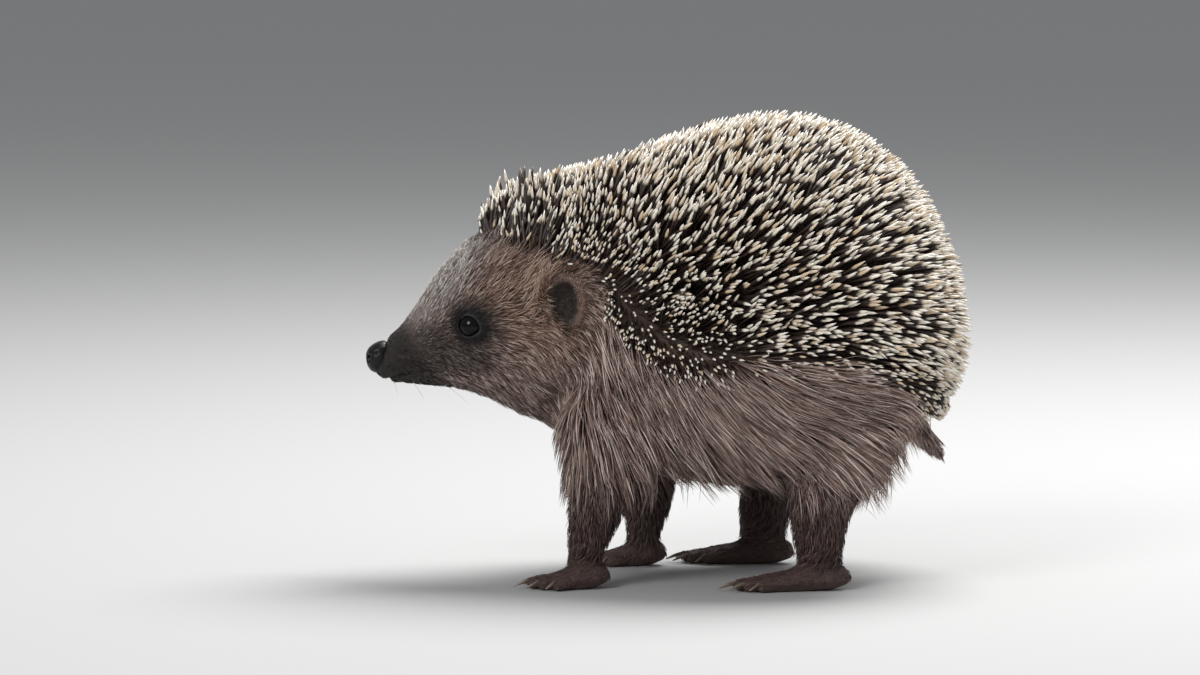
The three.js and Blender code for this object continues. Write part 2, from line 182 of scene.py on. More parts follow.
# Where the coat is darker or paler, the same on both sides: its own markings, painted shade in the ear hollow and low
# on the body, and a painted rim light on the brow.
def makeMarksAndShade():
    group, given, out = newGroup("hedgehogMarkings", {"Place": "vector"},
                                 {name: "value" for name in ("Dark Face", "Pale Brow", "Warm Cheek", "Dark Limb",
                                                             "Pale Under", "Dark Ear", "Spine Bed", "Lid", "Bare")})
    split = put(group, "ShaderNodeSeparateXYZ", {0: given.outputs["Place"]})
    side = put(group, "ShaderNodeMath", {0: split.outputs["Y"]}, operation="ABSOLUTE").outputs[0]
    place = put(group, "ShaderNodeCombineXYZ", {0: split.outputs["X"], 1: side, 2: split.outputs["Z"]}).outputs[0]
    muzzle = nearMask(group, place, (-92, 0, 62), (17, 17, 15), 0.75)
    eye = nearMask(group, place, (-61.3, 16.2, 80.4), (6.0, 6, 5.2), 0.9)
    bridge = nearMask(group, place, (-71, 14, 73), (11, 10, 5), 0.9)
    face = calculate(group, "MAXIMUM", muzzle, calculate(group, "MAXIMUM", eye,
                     calculate(group, "MULTIPLY", bridge, 0.75)))
    made = {
        "Dark Face": face,
        # pale brow hair, brightened as a painted rim light along the forehead
        "Pale Brow": nearMask(group, place, (-72, 0, 95), (11, 9, 12), 1.3),
        # dark legs, and painted shade that darkens the lower flank and belly below about 49 mm
        "Dark Limb": stepMask(group, split.outputs["Z"], 49 * mm, 20 * mm),
        "Warm Cheek": nearMask(group, place, (-44, 28, 91), (11, 11, 11), 1.4),
        "Pale Under": calculate(group, "MULTIPLY", stepMask(group, split.outputs["Z"], 42 * mm, 34 * mm),
                                stepMask(group, side, 24 * mm, 14 * mm)),
        # painted shade in the ear hollow
        "Dark Ear": nearMask(group, place, (-33, 30, 88.5), (4, 7, 6), 0.5),
        "Lid": nearMask(group, place, (-60.8, 16.2, 80.2), (5.3, 6, 4.7), 0.3),
        "Bare": stepMask(group, split.outputs["Z"], 10 * mm, 6 * mm),
    }
    hem = put(group, "ShaderNodeFloatCurve", {"Value": put(group, "ShaderNodeMapRange", {
        "Value": split.outputs["X"], "From Min": -64 * mm, "From Max": 99 * mm}).outputs[0]})
    curve = hem.mapping.curves[0]
    marks = [((x + 64) / 163, (z + np.interp(x, hemShift[:, 0], hemShift[:, 1])) / 120) for x, z in hemLine.tolist()]
    curve.points[0].location, curve.points[1].location = marks[0], marks[-1]
    for mark in marks[1:-1]:
        curve.points.new(*mark)
    for point in curve.points:
        point.handle_type = "VECTOR"
    hem.mapping.update()
    line = put(group, "ShaderNodeMath", {0: hem.outputs[0], 1: 120 * mm}, operation="MULTIPLY").outputs[0]
    over = put(group, "ShaderNodeMath", {0: split.outputs["Z"], 1: line}, operation="SUBTRACT").outputs[0]
    front = stepMask(group, split.outputs["X"], -62 * mm, -56 * mm)
    made["Spine Bed"] = calculate(group, "MULTIPLY", stepMask(group, over, 1 * mm, 7 * mm), front)
    for title, socket in made.items():
        group.links.new(socket, out.inputs[title])
    return group


marksAndShade = makeMarksAndShade()


def ramp(tree, value, stops, ease="LINEAR"):
    node = put(tree, "ShaderNodeValToRGB", {"Fac": value})
    node.color_ramp.interpolation = ease
    bands = node.color_ramp.elements
    for place, colour in stops[1:-1]:
        bands.new(place).color = colour
    bands[0].position, bands[0].color = stops[0]
    bands[-1].position, bands[-1].color = stops[-1]
    return node.outputs["Color"]


# The colour of hair and skin at a place, from root to tip, for a light or a dark hair.
def makeCoatShade():
    group, given, out = newGroup("coatShade", {"Place": "vector", "Along": "value", "Tone": "value"},
                                 {"Color": "colour"})
    tone, along = given.outputs["Tone"], given.outputs["Along"]
    marks = put(group, "ShaderNodeGroup", node_tree=marksAndShade)
    group.links.new(given.outputs["Place"], marks.inputs["Place"])
    body = ramp(group, tone, [(0, tint(86, 66, 59)), (0.35, tint(134, 109, 100)), (0.7, tint(180, 155, 145)),
                              (1, tint(232, 216, 208))])
    dusky = ramp(group, tone, [(0, tint(22, 18, 17)), (0.7, tint(32, 27, 26)), (1, tint(68, 58, 55))])
    # dark leg colour, also used as painted shade low on the body
    limbAndLowShade = ramp(group, tone, [(0, tint(64, 47, 43)), (0.6, tint(92, 71, 67)), (1, tint(132, 108, 102))])
    paleBrowLit = ramp(group, tone, [(0, tint(150, 141, 134)), (0.5, tint(196, 190, 184)), (1, tint(234, 231, 227))])
    under = ramp(group, tone, [(0, tint(124, 110, 100)), (1, tint(190, 179, 168))])
    # pale brow hair with a painted rim light on the forehead
    colour = blend(group, calculate(group, "MULTIPLY", marks.outputs["Pale Brow"], 0.8), body, paleBrowLit)
    colour = blend(group, marks.outputs["Warm Cheek"], colour, tint(251, 242, 229), how="MULTIPLY")
    colour = blend(group, calculate(group, "MULTIPLY", marks.outputs["Pale Under"], 0.7), colour, under)
    # dark legs, and painted shade towards the bottom of the flank
    colour = blend(group, marks.outputs["Dark Limb"], colour, limbAndLowShade)
    # the ear hollow is darkened as painted shade
    colour = blend(group, calculate(group, "MULTIPLY", marks.outputs["Dark Ear"], 0.9), colour, dusky)
    colour = blend(group, calculate(group, "MULTIPLY", marks.outputs["Dark Face"], 0.95), colour, dusky)
    colour = blend(group, marks.outputs["Lid"], colour, tint(21, 17, 16))
    root = blend(group, 1.0, colour, tint(128, 118, 112), how="MULTIPLY")
    colour = blend(group, stepMask(group, along, 0.0, 0.6), root, colour)
    group.links.new(colour, out.inputs["Color"])
    return group


coatShade = makeCoatShade()


def newPaint(name, roughness, base=None):
    paint = bpy.data.materials.new(name)
    paint.use_nodes = True
    shader = paint.node_tree.nodes["Principled BSDF"]
    shader.inputs["Roughness"].default_value = roughness
    if base:
        shader.inputs["Base Color"].default_value = base
    return paint, paint.node_tree, shader


def strandInputs(tree):
    strand = put(tree, "ShaderNodeAttribute", attribute_name="strand")
    split = put(tree, "ShaderNodeSeparateXYZ", {0: strand.outputs["Vector"]})
    root = put(tree, "ShaderNodeAttribute", attribute_name="root")
    return root.outputs["Vector"], split.outputs["X"], split.outputs["Y"]


def makeHairPaint():
    paint, tree, shader = newPaint("hairPaint", 0.55)
    place, along, tone = strandInputs(tree)
    shade = put(tree, "ShaderNodeGroup", node_tree=coatShade)
    for title, socket in (("Place", place), ("Along", along), ("Tone", tone)):
        tree.links.new(socket, shade.inputs[title])
    tree.links.new(shade.outputs["Color"], shader.inputs["Base Color"])
    return paint


def makeSpinePaint():
    paint, tree, shader = newPaint("spinePaint", 0.4)
    place, along, tone = strandInputs(tree)
    shift = put(tree, "ShaderNodeMath", {0: tone, 1: 0.07, 2: -0.035}, operation="MULTIPLY_ADD").outputs[0]
    at = put(tree, "ShaderNodeMath", {0: along, 1: shift}, operation="ADD").outputs[0]
    plain = ramp(tree, at, [(0.0, tint(104, 86, 74)), (0.3, tint(96, 78, 66)), (0.42, tint(64, 52, 48)),
                            (0.765, tint(58, 47, 43)), (0.83, tint(226, 216, 199)), (1.0, tint(243, 240, 234))])
    dark = ramp(tree, at, [(0.0, tint(104, 86, 74)), (0.35, tint(60, 48, 44)), (0.9, tint(52, 42, 38)),
                           (1.0, tint(130, 114, 98))])
    warm = blend(tree, 1.0, plain, tint(226, 208, 184), how="MULTIPLY")
    mixed = blend(tree, stepMask(tree, tone, 0.55, 0.95), plain, warm)
    mixed = blend(tree, stepMask(tree, tone, 0.955, 0.965), mixed, dark)
    tree.links.new(mixed, shader.inputs["Base Color"])
    return paint


def makeSkinPaint():
    paint, tree, shader = newPaint("skinPaint", 0.75)
    here = put(tree, "ShaderNodeTexCoord").outputs["Object"]
    grain = put(tree, "ShaderNodeTexNoise", {"Vector": here, "Scale": 900, "Detail": 3})
    shade = put(tree, "ShaderNodeGroup", {"Along": 0.2}, node_tree=coatShade)
    tree.links.new(here, shade.inputs["Place"])
    tree.links.new(grain.outputs["Fac"], shade.inputs["Tone"])
    marks = put(tree, "ShaderNodeGroup", node_tree=marksAndShade)
    tree.links.new(here, marks.inputs["Place"])
    colour = blend(tree, marks.outputs["Spine Bed"], shade.outputs["Color"], tint(72, 58, 52))
    colour = blend(tree, marks.outputs["Bare"], colour, tint(74, 58, 54))
    lidEdge = put(tree, "ShaderNodeAttribute", attribute_name="lidEdge").outputs["Fac"]
    colour = blend(tree, lidEdge, colour, tint(17, 14, 13))
    tree.links.new(ramp(tree, lidEdge, [(0, (0.75, 0.75, 0.75, 1)), (1, (0.6, 0.6, 0.6, 1))]),
                   shader.inputs["Roughness"])
    tree.links.new(colour, shader.inputs["Base Color"])
    stretched = put(tree, "ShaderNodeVectorMath", {0: here, 1: (500, 1400, 1000)}, operation="MULTIPLY")
    hairs = put(tree, "ShaderNodeTexNoise", {"Vector": stretched.outputs[0], "Scale": 1.0, "Detail": 4})
    bump = put(tree, "ShaderNodeBump", {"Height": hairs.outputs["Fac"], "Distance": 0.35 * mm, "Strength": 0.8})
    tree.links.new(bump.outputs["Normal"], shader.inputs["Normal"])
    return paint


hairPaint, spinePaint, skinPaint = makeHairPaint(), makeSpinePaint(), makeSkinPaint()

# The skin: one closed surface under the whole coat, sunk below the nodes by the depth of hair or spines.

skinLook = {
    "flesh": ["mantle", "trunk", "neck", "head", "muzzle", "jaw", "ear_left", "ear_right", "tail"]
             + [f"{end}{part}_{side}" for end in ("fore", "hind") for part in ("leg", "foot")
                for side in ("left", "right")],
    "closeGaps": 0.22 * mm,  # how far each node swells, so that the thin cuts between them close
    "voxel": 0.75 * mm,
    "rounds": 10,            # the sinking is done in small steps, smoothed between
    "smoothing": 5,
    # coat depth in mm
    "spines": 13.5,
    "hem": 5.5,              # at the lower edge of the spines
    "hemWidth": 20,
    "flank": 5.5,
    "belly": 3.5,
    "cheek": 2.6,
    "muzzle": 0.5,
    "lids": 0.5,
    "thigh": 4,
    "shin": 1.6,
    "tail": 1.2,
    "bare": 0.15,            # ears and feet
    "keepFaces": 0.36,       # share of the faces that stays, most of it on the head and feet
}

def overHem(points):
    return points[:, 2] / mm - np.interp(points[:, 0] / mm, hemLine[:, 0], hemLine[:, 1])


# For each point, the number of the flesh node whose surface is nearest.
def nearestNode(points, names):
    corners, faces, owner = [], [], []
    for number, name in enumerate(names):
        mesh = nodes[name].data
        start = len(corners)
        corners.extend(v.co[:] for v in mesh.vertices)
        faces.extend([start + i for i in p.vertices] for p in mesh.polygons)
        owner.extend([number] * len(mesh.polygons))
    tree = BVHTree.FromPolygons(corners, faces)
    return np.array([owner[tree.find_nearest(p)[2]] for p in points.tolist()])


def coatDepth(points, normals, owner):
    x, z = points[:, 0] / mm, points[:, 2] / mm
    names = skinLook["flesh"]
    down = smoothStep(-normals[:, 2], 0.3, 0.85)
    body = skinLook["flank"] + (skinLook["belly"] - skinLook["flank"]) * down
    byName = {
        "mantle": skinLook["hem"] + (skinLook["spines"] - skinLook["hem"])
                  * smoothStep(overHem(points), 0, skinLook["hemWidth"]),
        "trunk": body,
        "neck": body,
        "head": skinLook["muzzle"] + (skinLook["cheek"] - skinLook["muzzle"]) * smoothStep(x, -82, -55),
        "leg": skinLook["shin"] + (skinLook["thigh"] - skinLook["shin"]) * smoothStep(z, 22, 48),
        "tail": np.full(len(x), skinLook["tail"]),
    }
    depth = np.full(len(x), float(skinLook["bare"]))
    for number, name in enumerate(names):
        key = "leg" if "leg" in name else "head" if name in ("muzzle", "jaw") else name
        if key in byName:
            depth = np.where(owner == number, byName[key], depth)
    for name, near, far, least in (("eye_left", 5, 14, skinLook["lids"]), ("eye_right", 5, 14, skinLook["lids"]),
                                   ("nose", 6, 10, 0)):
        away = np.linalg.norm(points - middleOf(name), axis=1) / mm
        depth = least + (depth - least) * smoothStep(away, near, far)
    return depth * mm


def remeshPiece(piece, voxel):
    remesh = piece.modifiers.new("remesh", "REMESH")
    remesh.mode = "VOXEL"
    remesh.voxel_size = voxel
    makeActive(piece)
    bpy.ops.object.modifier_apply(modifier=remesh.name)


def makeSkin():
    copies = []
    for name in skinLook["flesh"]:
        piece = bpy.data.objects.new("skin", nodes[name].data.copy())
        bpy.context.scene.collection.objects.link(piece)
        copies.append(piece)
    deselectAll()
    for piece in copies:
        piece.select_set(True)
    bpy.context.view_layer.objects.active = copies[0]
    bpy.ops.object.join()
    skin = bpy.context.object
    skin.name = "skin"
    bpy.ops.object.mode_set(mode="EDIT")
    bpy.ops.mesh.select_all(action="SELECT")
    bpy.ops.mesh.remove_doubles(threshold=0.01 * mm)
    bpy.ops.transform.shrink_fatten(value=skinLook["closeGaps"])
    bpy.ops.object.mode_set(mode="OBJECT")
    remeshPiece(skin, skinLook["voxel"])
    say(f"skin remeshed, {len(skin.data.polygons)} faces")
    return skin


# Sinks the skin by the coat's depth. Gives each point's place, node number and coat depth.
def sinkSkin(skin):
    mesh = skin.data
    points, edges = readPoints(mesh), readEdges(mesh)
    names = skinLook["flesh"]
    owner = nearestNode(points, names)
    fine = np.array([0.12 if "ear" in n else 0.3 if "foot" in n else 0.7 if n in ("muzzle", "jaw") else 1
                     for n in names])[owner]
    fine = relax(fine, edges, 0.5, 4)
    depth = coatDepth(points, readNormals(mesh), owner)
    depth = relax(depth, edges, np.minimum(fine, 0.5), 40)
    points = relax(points, edges, 0.5 * fine, 25)
    writePoints(mesh, points)
    for _ in range(skinLook["rounds"]):
        points = points - readNormals(mesh) * (depth / skinLook["rounds"])[:, None]
        points = relax(points, edges, 0.5 * fine, skinLook["smoothing"])
        writePoints(mesh, points)
    # a second remesh clears folds, and the points of the first keep the node numbers and depths
    remeshPiece(skin, skinLook["voxel"])
    say("skin sunk under the coat")
    return points, owner, depth


# Lids, mouth and other small forms of the head are shaped on a finer part of the skin.

faceLook = {
    "eyeRadius": 4.0 * mm,
    "opening": (3.55 * mm, 3.15 * mm),   # half length and half height of the gap between the lids
    "tilt": 14,              # degrees that the eye's outer corner lies lower than its inner corner
    "lidLift": (0.22 * mm, 0.1 * mm),    # how far the upper and the lower lid stand over the eyeball
    "lidWidth": 1.0 * mm,
    "lidFade": 4.2 * mm,
    "mouth": [[-91, 61.5], [-88, 62.3], [-85.5, 63.2], [-80, 65.0], [-75, 65.8], [-69, 66.2], [-64, 66.0], [-61, 64.2]],
    "mouthDeep": 0.6 * mm,
}


def selectNear(piece, places, reach):
    mesh = piece.data
    centres = np.empty(len(mesh.polygons) * 3)
    mesh.polygons.foreach_get("center", centres)
    centres = centres.reshape(-1, 3)
    chosen = np.zeros(len(centres), bool)
    for place in places:
        chosen |= np.linalg.norm(centres - place, axis=1) < reach
    makeActive(piece)
    bpy.ops.object.mode_set(mode="EDIT")
    bpy.ops.mesh.select_mode(type="FACE")
    bpy.ops.mesh.select_all(action="DESELECT")
    bpy.ops.object.mode_set(mode="OBJECT")
    mesh.polygons.foreach_set("select", chosen)
    bpy.ops.object.mode_set(mode="EDIT")


def refineFace(skin):
    eyes = [middleOf(name) for name in ("eye_left", "eye_right")]
    for reach in (9 * mm, 6 * mm):
        selectNear(skin, eyes, reach)
        bpy.ops.mesh.subdivide(number_cuts=1, smoothness=0)
        bpy.ops.object.mode_set(mode="OBJECT")
    lips = [np.array([x * mm, side * y * mm, z * mm]) for x, z in faceLook["mouth"]
            for side in (-1, 1) for y in (3, 7, 11)]
    selectNear(skin, lips, 3.2 * mm)
    bpy.ops.mesh.subdivide(number_cuts=1, smoothness=0)
    bpy.ops.mesh.select_all(action="SELECT")
    bpy.ops.mesh.quads_convert_to_tris()
    bpy.ops.object.mode_set(mode="OBJECT")


# How the eye looks out: its middle, its outward direction, and its long and short axes.
def eyeFrame(name, points, normals):
    middle = middleOf(name)
    around = np.linalg.norm(points - middle, axis=1)
    out = unit(normals[(around > 5 * mm) & (around < 8 * mm)].mean(0))
    back = np.array([math.cos(math.radians(faceLook["tilt"])), 0, -math.sin(math.radians(faceLook["tilt"]))])
    long = unit(back - out * back.dot(out))
    return middle, out, long, np.cross(out, long) * (1 if np.cross(out, long)[2] > 0 else -1)


# The toes are drawn back to the form of the foot nodes, which the smoothing has blurred.
def shapeFeet(skin):
    claws = [middleOf(name) for name in nodes.keys() if "claw" in name]
    selectNear(skin, claws, 5.5 * mm)
    bpy.ops.mesh.subdivide(number_cuts=1, smoothness=0)
    bpy.ops.mesh.quads_convert_to_tris()
    bpy.ops.object.mode_set(mode="OBJECT")
    corners, faces = [], []
    for name in [n for n in nodes.keys() if "foot" in n]:
        start = len(corners)
        corners.extend(v.co[:] for v in nodes[name].data.vertices)
        faces.extend([start + i for i in p.vertices] for p in nodes[name].data.polygons)
    tree = BVHTree.FromPolygons(corners, faces)
    points, edges = readPoints(skin.data), readEdges(skin.data)
    low = points[:, 2] < 11 * mm
    for _ in range(3):
        found = [tree.find_nearest(p) for p in points[low].tolist()]
        hit = np.array([f[0][:] for f in found]) - np.array([f[1][:] for f in found]) * 0.12 * mm
        away = np.array([f[3] for f in found])
        share = (1 - smoothStep(away / mm, 1.2, 2.2)) * (1 - smoothStep(points[low][:, 2] / mm, 6, 10))
        points[low] += (hit - points[low]) * share[:, None]
        points = relax(points, edges, 0.35 * (points[:, 2] < 9 * mm), 1)
    writePoints(skin.data, points)


def shapeFace(skin):
    look = faceLook
    mesh = skin.data
    points, normals, edges = readPoints(mesh), readNormals(mesh), readEdges(mesh)
    lips = np.array(look["mouth"]) * mm
    flat = points[:, [0, 2]]
    nearLip = np.full(len(points), 1.0)
    for a, b in zip(lips[:-1], lips[1:]):
        t = np.clip(((flat - a) @ (b - a)) / (b - a).dot(b - a), 0, 1)
        nearLip = np.minimum(nearLip, np.linalg.norm(flat - a - t[:, None] * (b - a), axis=1))
    deep = look["mouthDeep"] * np.exp(-(nearLip / (0.42 * mm)) ** 2)
    lipEdge = 0.22 * mm * np.exp(-((nearLip - 1.1 * mm) / (0.5 * mm)) ** 2)
    points = points - normals * (deep - lipEdge)[:, None]
    lidEdge = np.zeros(len(points))
    for name in ("eye_left", "eye_right"):
        middle, out, long, high = eyeFrame(name, points, normals)
        offset = points - middle
        h, u, v = offset @ out, offset @ long, offset @ high
        size = (abs(u / look["opening"][0]) ** 1.8 + abs(v / look["opening"][1]) ** 1.8) ** (1 / 1.8)
        away = np.hypot(u, v)
        gap = away * (1 - 1 / np.maximum(size, 1e-6))       # distance outside the opening
        upper = smoothStep(v / mm, -2.5, 2.5)
        lift = look["lidLift"][1] + (look["lidLift"][0] - look["lidLift"][1]) * upper
        edgeAway = away - gap
        ball = np.sqrt(np.maximum(look["eyeRadius"] ** 2 - np.minimum(edgeAway, 3.7 * mm) ** 2, 0))
        rim = np.exp(-((gap / mm - 0.35) / 0.28) ** 2)
        fold = np.exp(-((gap / mm - 1.35) / 0.35) ** 2)
        lid = ball + lift - (np.maximum(gap - look["lidWidth"] * 0.5, 0) ** 2) / (9 * mm) \
            + (0.05 * rim - 0.2 * fold) * mm
        inside = np.sqrt(np.maximum(look["eyeRadius"] ** 2 - away ** 2, 0)) - 0.4 * mm
        target = inside + (lid - inside) * smoothStep(gap / mm, -0.22, 0.18)
        lidEdge = np.maximum(lidEdge, rim * (away < 6 * mm) * (h > 0))
        share = 1 - smoothStep(gap / mm, look["lidWidth"] / mm, look["lidFade"] / mm)
        share = np.where((away < 12 * mm) & (h > -3.5 * mm), share, 0)
        points = points + out * ((target - h) * share)[:, None]
    writePoints(mesh, points)
    layer = mesh.attributes.new("lidEdge", "FLOAT", "POINT")
    layer.data.foreach_set("value", lidEdge.astype(np.float32))


# Thins the faces that lie deep under spines and long hair, and keeps those of the head and feet.
def thinSkin(skin):
    points = readPoints(skin.data)
    plain = (points[:, 0] > -30 * mm) & (points[:, 2] > 14 * mm)
    group = skin.vertex_groups.new(name="underLongCoat")
    group.add(np.nonzero(plain)[0].tolist(), 1, "REPLACE")
    thin = skin.modifiers.new("thin", "DECIMATE")
    thin.ratio = skinLook["keepFaces"]
    thin.vertex_group = group.name
    thin.vertex_group_factor = 1000
    makeActive(skin)
    bpy.ops.object.modifier_apply(modifier=thin.name)
    skin.vertex_groups.clear()


def unwrapSkin(skin):
    makeActive(skin)
    bpy.ops.object.mode_set(mode="EDIT")
    bpy.ops.mesh.select_all(action="SELECT")
    bpy.ops.uv.smart_project(angle_limit=math.radians(66), island_margin=0.004)
    bpy.ops.object.mode_set(mode="OBJECT")
    skin.data.uv_layers[0].name = "OFBake"


skin = makeSkin()
outerPoints = readPoints(skin.data)
outerFaces = [list(p.vertices) for p in skin.data.polygons]
outerTree = BVHTree.FromPolygons(outerPoints.tolist(), outerFaces)
sunkPoints, sunkOwner, sunkDepth = sinkSkin(skin)
refineFace(skin)
shapeFace(skin)
thinSkin(skin)
shapeFeet(skin)
unwrapSkin(skin)
say(f"skin thinned and unwrapped, {len(skin.data.polygons)} faces")
skin.data.materials.clear()
skin.data.materials.append(skinPaint)
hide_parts(*skinLook["flesh"])
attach(skin, "root")


# Eyes: dark glossy beads under the lids.

eyeLook = {"radius": 4.0 * mm, "pupil": (3, 3, 3), "iris": (13, 9, 7), "rim": (5, 4, 4)}
eyeOut = [eyeFrame(name, readPoints(skin.data), readNormals(skin.data))[1] for name in ("eye_left", "eye_right")]


def makeEyePaint():
    paint, tree, shader = newPaint("eyePaint", 0.05)
    shader.inputs["IOR"].default_value = 1.376
    shader.inputs["Specular IOR Level"].default_value = 0.3
    split = put(tree, "ShaderNodeSeparateXYZ", {0: put(tree, "ShaderNodeTexCoord").outputs["Object"]})
    side = put(tree, "ShaderNodeMath", {0: split.outputs["Y"]}, operation="ABSOLUTE").outputs[0]
    place = put(tree, "ShaderNodeCombineXYZ", {0: split.outputs["X"], 1: side, 2: split.outputs["Z"]}).outputs[0]
    front = (middleOf("eye_right") + eyeOut[1] * eyeLook["radius"]) / mm
    pupil = nearMask(tree, place, front, (1.5, 1.5, 1.5), 0.12)
    iris = nearMask(tree, place, front, (2.5, 2.5, 2.5), 0.15)
    colour = blend(tree, iris, tint(*eyeLook["rim"]), tint(*eyeLook["iris"]))
    colour = blend(tree, pupil, colour, tint(*eyeLook["pupil"]))
    tree.links.new(colour, shader.inputs["Base Color"])
    return paint


eyePaint = makeEyePaint()
for name in ("eye_left", "eye_right"):
    deselectAll()
    bpy.ops.mesh.primitive_uv_sphere_add(segments=40, ring_count=24, radius=eyeLook["radius"], location=middleOf(name))
    bpy.ops.object.transform_apply(location=True, rotation=True, scale=True)
    bpy.ops.object.shade_smooth()
    eye = bpy.context.object
    eye.name = "eyeball" + name.split("_")[1].capitalize()
    eye.data.materials.append(eyePaint)
    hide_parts(name)
    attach(eye, "root")

# Nose pad: wet and dark, with comma nostrils, a groove between them and a pebbled surface.

noseLook = {"voxel": 0.22 * mm, "nostril": [(-93.6, 2.5, 69.2), (-91.0, 4.5, 70.9)], "wide": (0.85, 0.36),
            "deep": (1.4, 0.5), "groove": 0.3 * mm}


def makeNose():
    look = noseLook
    nose = bpy.data.objects.new("nosePad", nodes["nose"].data.copy())
    bpy.context.scene.collection.objects.link(nose)
    nose.data.materials.clear()
    makeActive(nose)
    bpy.ops.object.mode_set(mode="EDIT")
    bpy.ops.mesh.select_all(action="SELECT")
    bpy.ops.mesh.remove_doubles(threshold=0.01 * mm)
    bpy.ops.object.mode_set(mode="OBJECT")
    remeshPiece(nose, look["voxel"])
    points, edges = readPoints(nose.data), readEdges(nose.data)
    points = relax(points, edges, 0.5, 14)
    low = smoothStep(-points[:, 2] / mm, -71.5, -65.5)
    points = points + np.stack([0.7 * low, -0.16 * low * points[:, 1] / mm, -2.0 * low], 1) * mm
    writePoints(nose.data, points)
    normals = readNormals(nose.data)
    mirrored = np.stack([points[:, 0], abs(points[:, 1]), points[:, 2]], 1) / mm
    start, end = np.array(look["nostril"])
    t = np.clip((mirrored - start) @ (end - start) / (end - start).dot(end - start), 0, 1)
    away = np.linalg.norm(mirrored - start - t[:, None] * (end - start), axis=1)
    wide, deepest = (look[key][0] + (look[key][1] - look[key][0]) * t for key in ("wide", "deep"))
    deep = deepest * mm * np.exp(-(away / wide) ** 2)
    groove = look["groove"] * np.exp(-(points[:, 1] / (0.35 * mm)) ** 2) * smoothStep(-points[:, 2] / mm, -71.5, -69)
    writePoints(nose.data, relax(points - normals * (deep + groove)[:, None], edges, 0.4, 2))
    nose.data.shade_smooth()
    paint, tree, shader = newPaint("nosePaint", 0.33)
    shader.inputs["Specular IOR Level"].default_value = 0.28
    here = put(tree, "ShaderNodeTexCoord").outputs["Object"]
    pebbles = put(tree, "ShaderNodeTexVoronoi", {"Vector": here, "Scale": 3200, "Smoothness": 1.0},
                  feature="SMOOTH_F1")
    mottle = put(tree, "ShaderNodeTexNoise", {"Vector": here, "Scale": 700, "Detail": 2})
    colour = ramp(tree, mottle.outputs["Fac"], [(0.3, tint(9, 8, 8)), (0.75, tint(20, 18, 17))])
    tree.links.new(colour, shader.inputs["Base Color"])
    bump = put(tree, "ShaderNodeBump", {"Height": pebbles.outputs["Distance"], "Distance": 0.12 * mm, "Strength": 0.5},
               invert=True)
    tree.links.new(bump.outputs["Normal"], shader.inputs["Normal"])
    nose.data.materials.append(paint)
    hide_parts("nose")
    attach(nose, "root")
    say(f"nose, {len(nose.data.polygons)} faces")


makeNose()


# Claws: horn, darker at the root.

def makeClaws():
    paint, tree, shader = newPaint("clawPaint", 0.38)
    tip = put(tree, "ShaderNodeAttribute", attribute_name="towardsTip").outputs["Fac"]
    here = put(tree, "ShaderNodeTexCoord").outputs["Object"]
    streaks = put(tree, "ShaderNodeTexNoise", {"Vector": put(tree, "ShaderNodeVectorMath", {0: here, 1: (200, 2500, 2500)},
                  operation="MULTIPLY").outputs[0], "Scale": 1.0, "Detail": 2})
    along = ramp(tree, tip, [(0.0, tint(62, 50, 44)), (0.55, tint(104, 88, 76)), (1.0, tint(150, 134, 118))])
    colour = blend(tree, 0.35, along, ramp(tree, streaks.outputs["Fac"], [(0.3, tint(70, 58, 50)),
                                                                          (0.7, tint(150, 134, 120))]))
    tree.links.new(colour, shader.inputs["Base Color"])
    for name in [n for n in nodes.keys() if "claw" in n]:
        part, side, number = name.split("_")
        claw = bpy.data.objects.new(f"{part}{side.capitalize()}{number}", nodes[name].data.copy())
        bpy.context.scene.collection.objects.link(claw)
        claw.data.materials.clear()
        makeActive(claw)
        bpy.ops.object.mode_set(mode="EDIT")
        bpy.ops.mesh.select_all(action="SELECT")
        bpy.ops.mesh.remove_doubles(threshold=0.01 * mm)
        bpy.ops.object.mode_set(mode="OBJECT")
        points = readPoints(claw.data)
        base = points[:, 0] > points[:, 0].max() - 0.3 * (points[:, 0].max() - points[:, 0].min())
        points[base] += (points[base].mean(0) - points[~base].mean(0)) * 0.35
        writePoints(claw.data, points)
        rounding = claw.modifiers.new("rounding", "SUBSURF")
        rounding.levels = rounding.render_levels = 1
        bpy.ops.object.modifier_apply(modifier=rounding.name)
        claw.data.shade_smooth()
        across = readPoints(claw.data)[:, 0]
        reach = (across.max() - across) / (across.max() - across.min())
        layer = claw.data.attributes.new("towardsTip", "FLOAT", "POINT")
        layer.data.foreach_set("value", reach.astype(np.float32))
        claw.data.materials.append(paint)
        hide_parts(name)
        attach(claw, "root")
    say("claws")


makeClaws()


# Everything that a coat needs to know about the skin under it.
def studySkin(skin):
    mesh = skin.data
    mesh.calc_loop_triangles()
    size = len(mesh.loop_triangles)
    corners = np.empty(size * 3, np.int32)
    loops = np.empty(size * 3, np.int32)
    mesh.loop_triangles.foreach_get("vertices", corners)
    mesh.loop_triangles.foreach_get("loops", loops)
    uv = np.empty(len(mesh.loops) * 2)
    mesh.uv_layers["OFBake"].data.foreach_get("uv", uv)
    corners, loops = corners.reshape(-1, 3), loops.reshape(-1, 3)
    points = readPoints(mesh)
    near = KDTree(len(sunkPoints))
    for i, place in enumerate(sunkPoints.tolist()):
        near.insert(place, i)
    near.balance()
    match = np.array([near.find(p)[1] for p in points.tolist()])
    places = points[corners]
    area = np.linalg.norm(np.cross(places[:, 1] - places[:, 0], places[:, 2] - places[:, 0]), axis=1) / 2
    return {"points": points, "normals": readNormals(mesh), "corners": corners, "uv": uv.reshape(-1, 2)[loops],
            "area": area, "middle": places.mean(1), "owner": sunkOwner[match], "depth": sunkDepth[match],
            "tree": BVHTree.FromPolygons(points.tolist(), corners.tolist())}


ground = studySkin(skin)
say("skin studied")


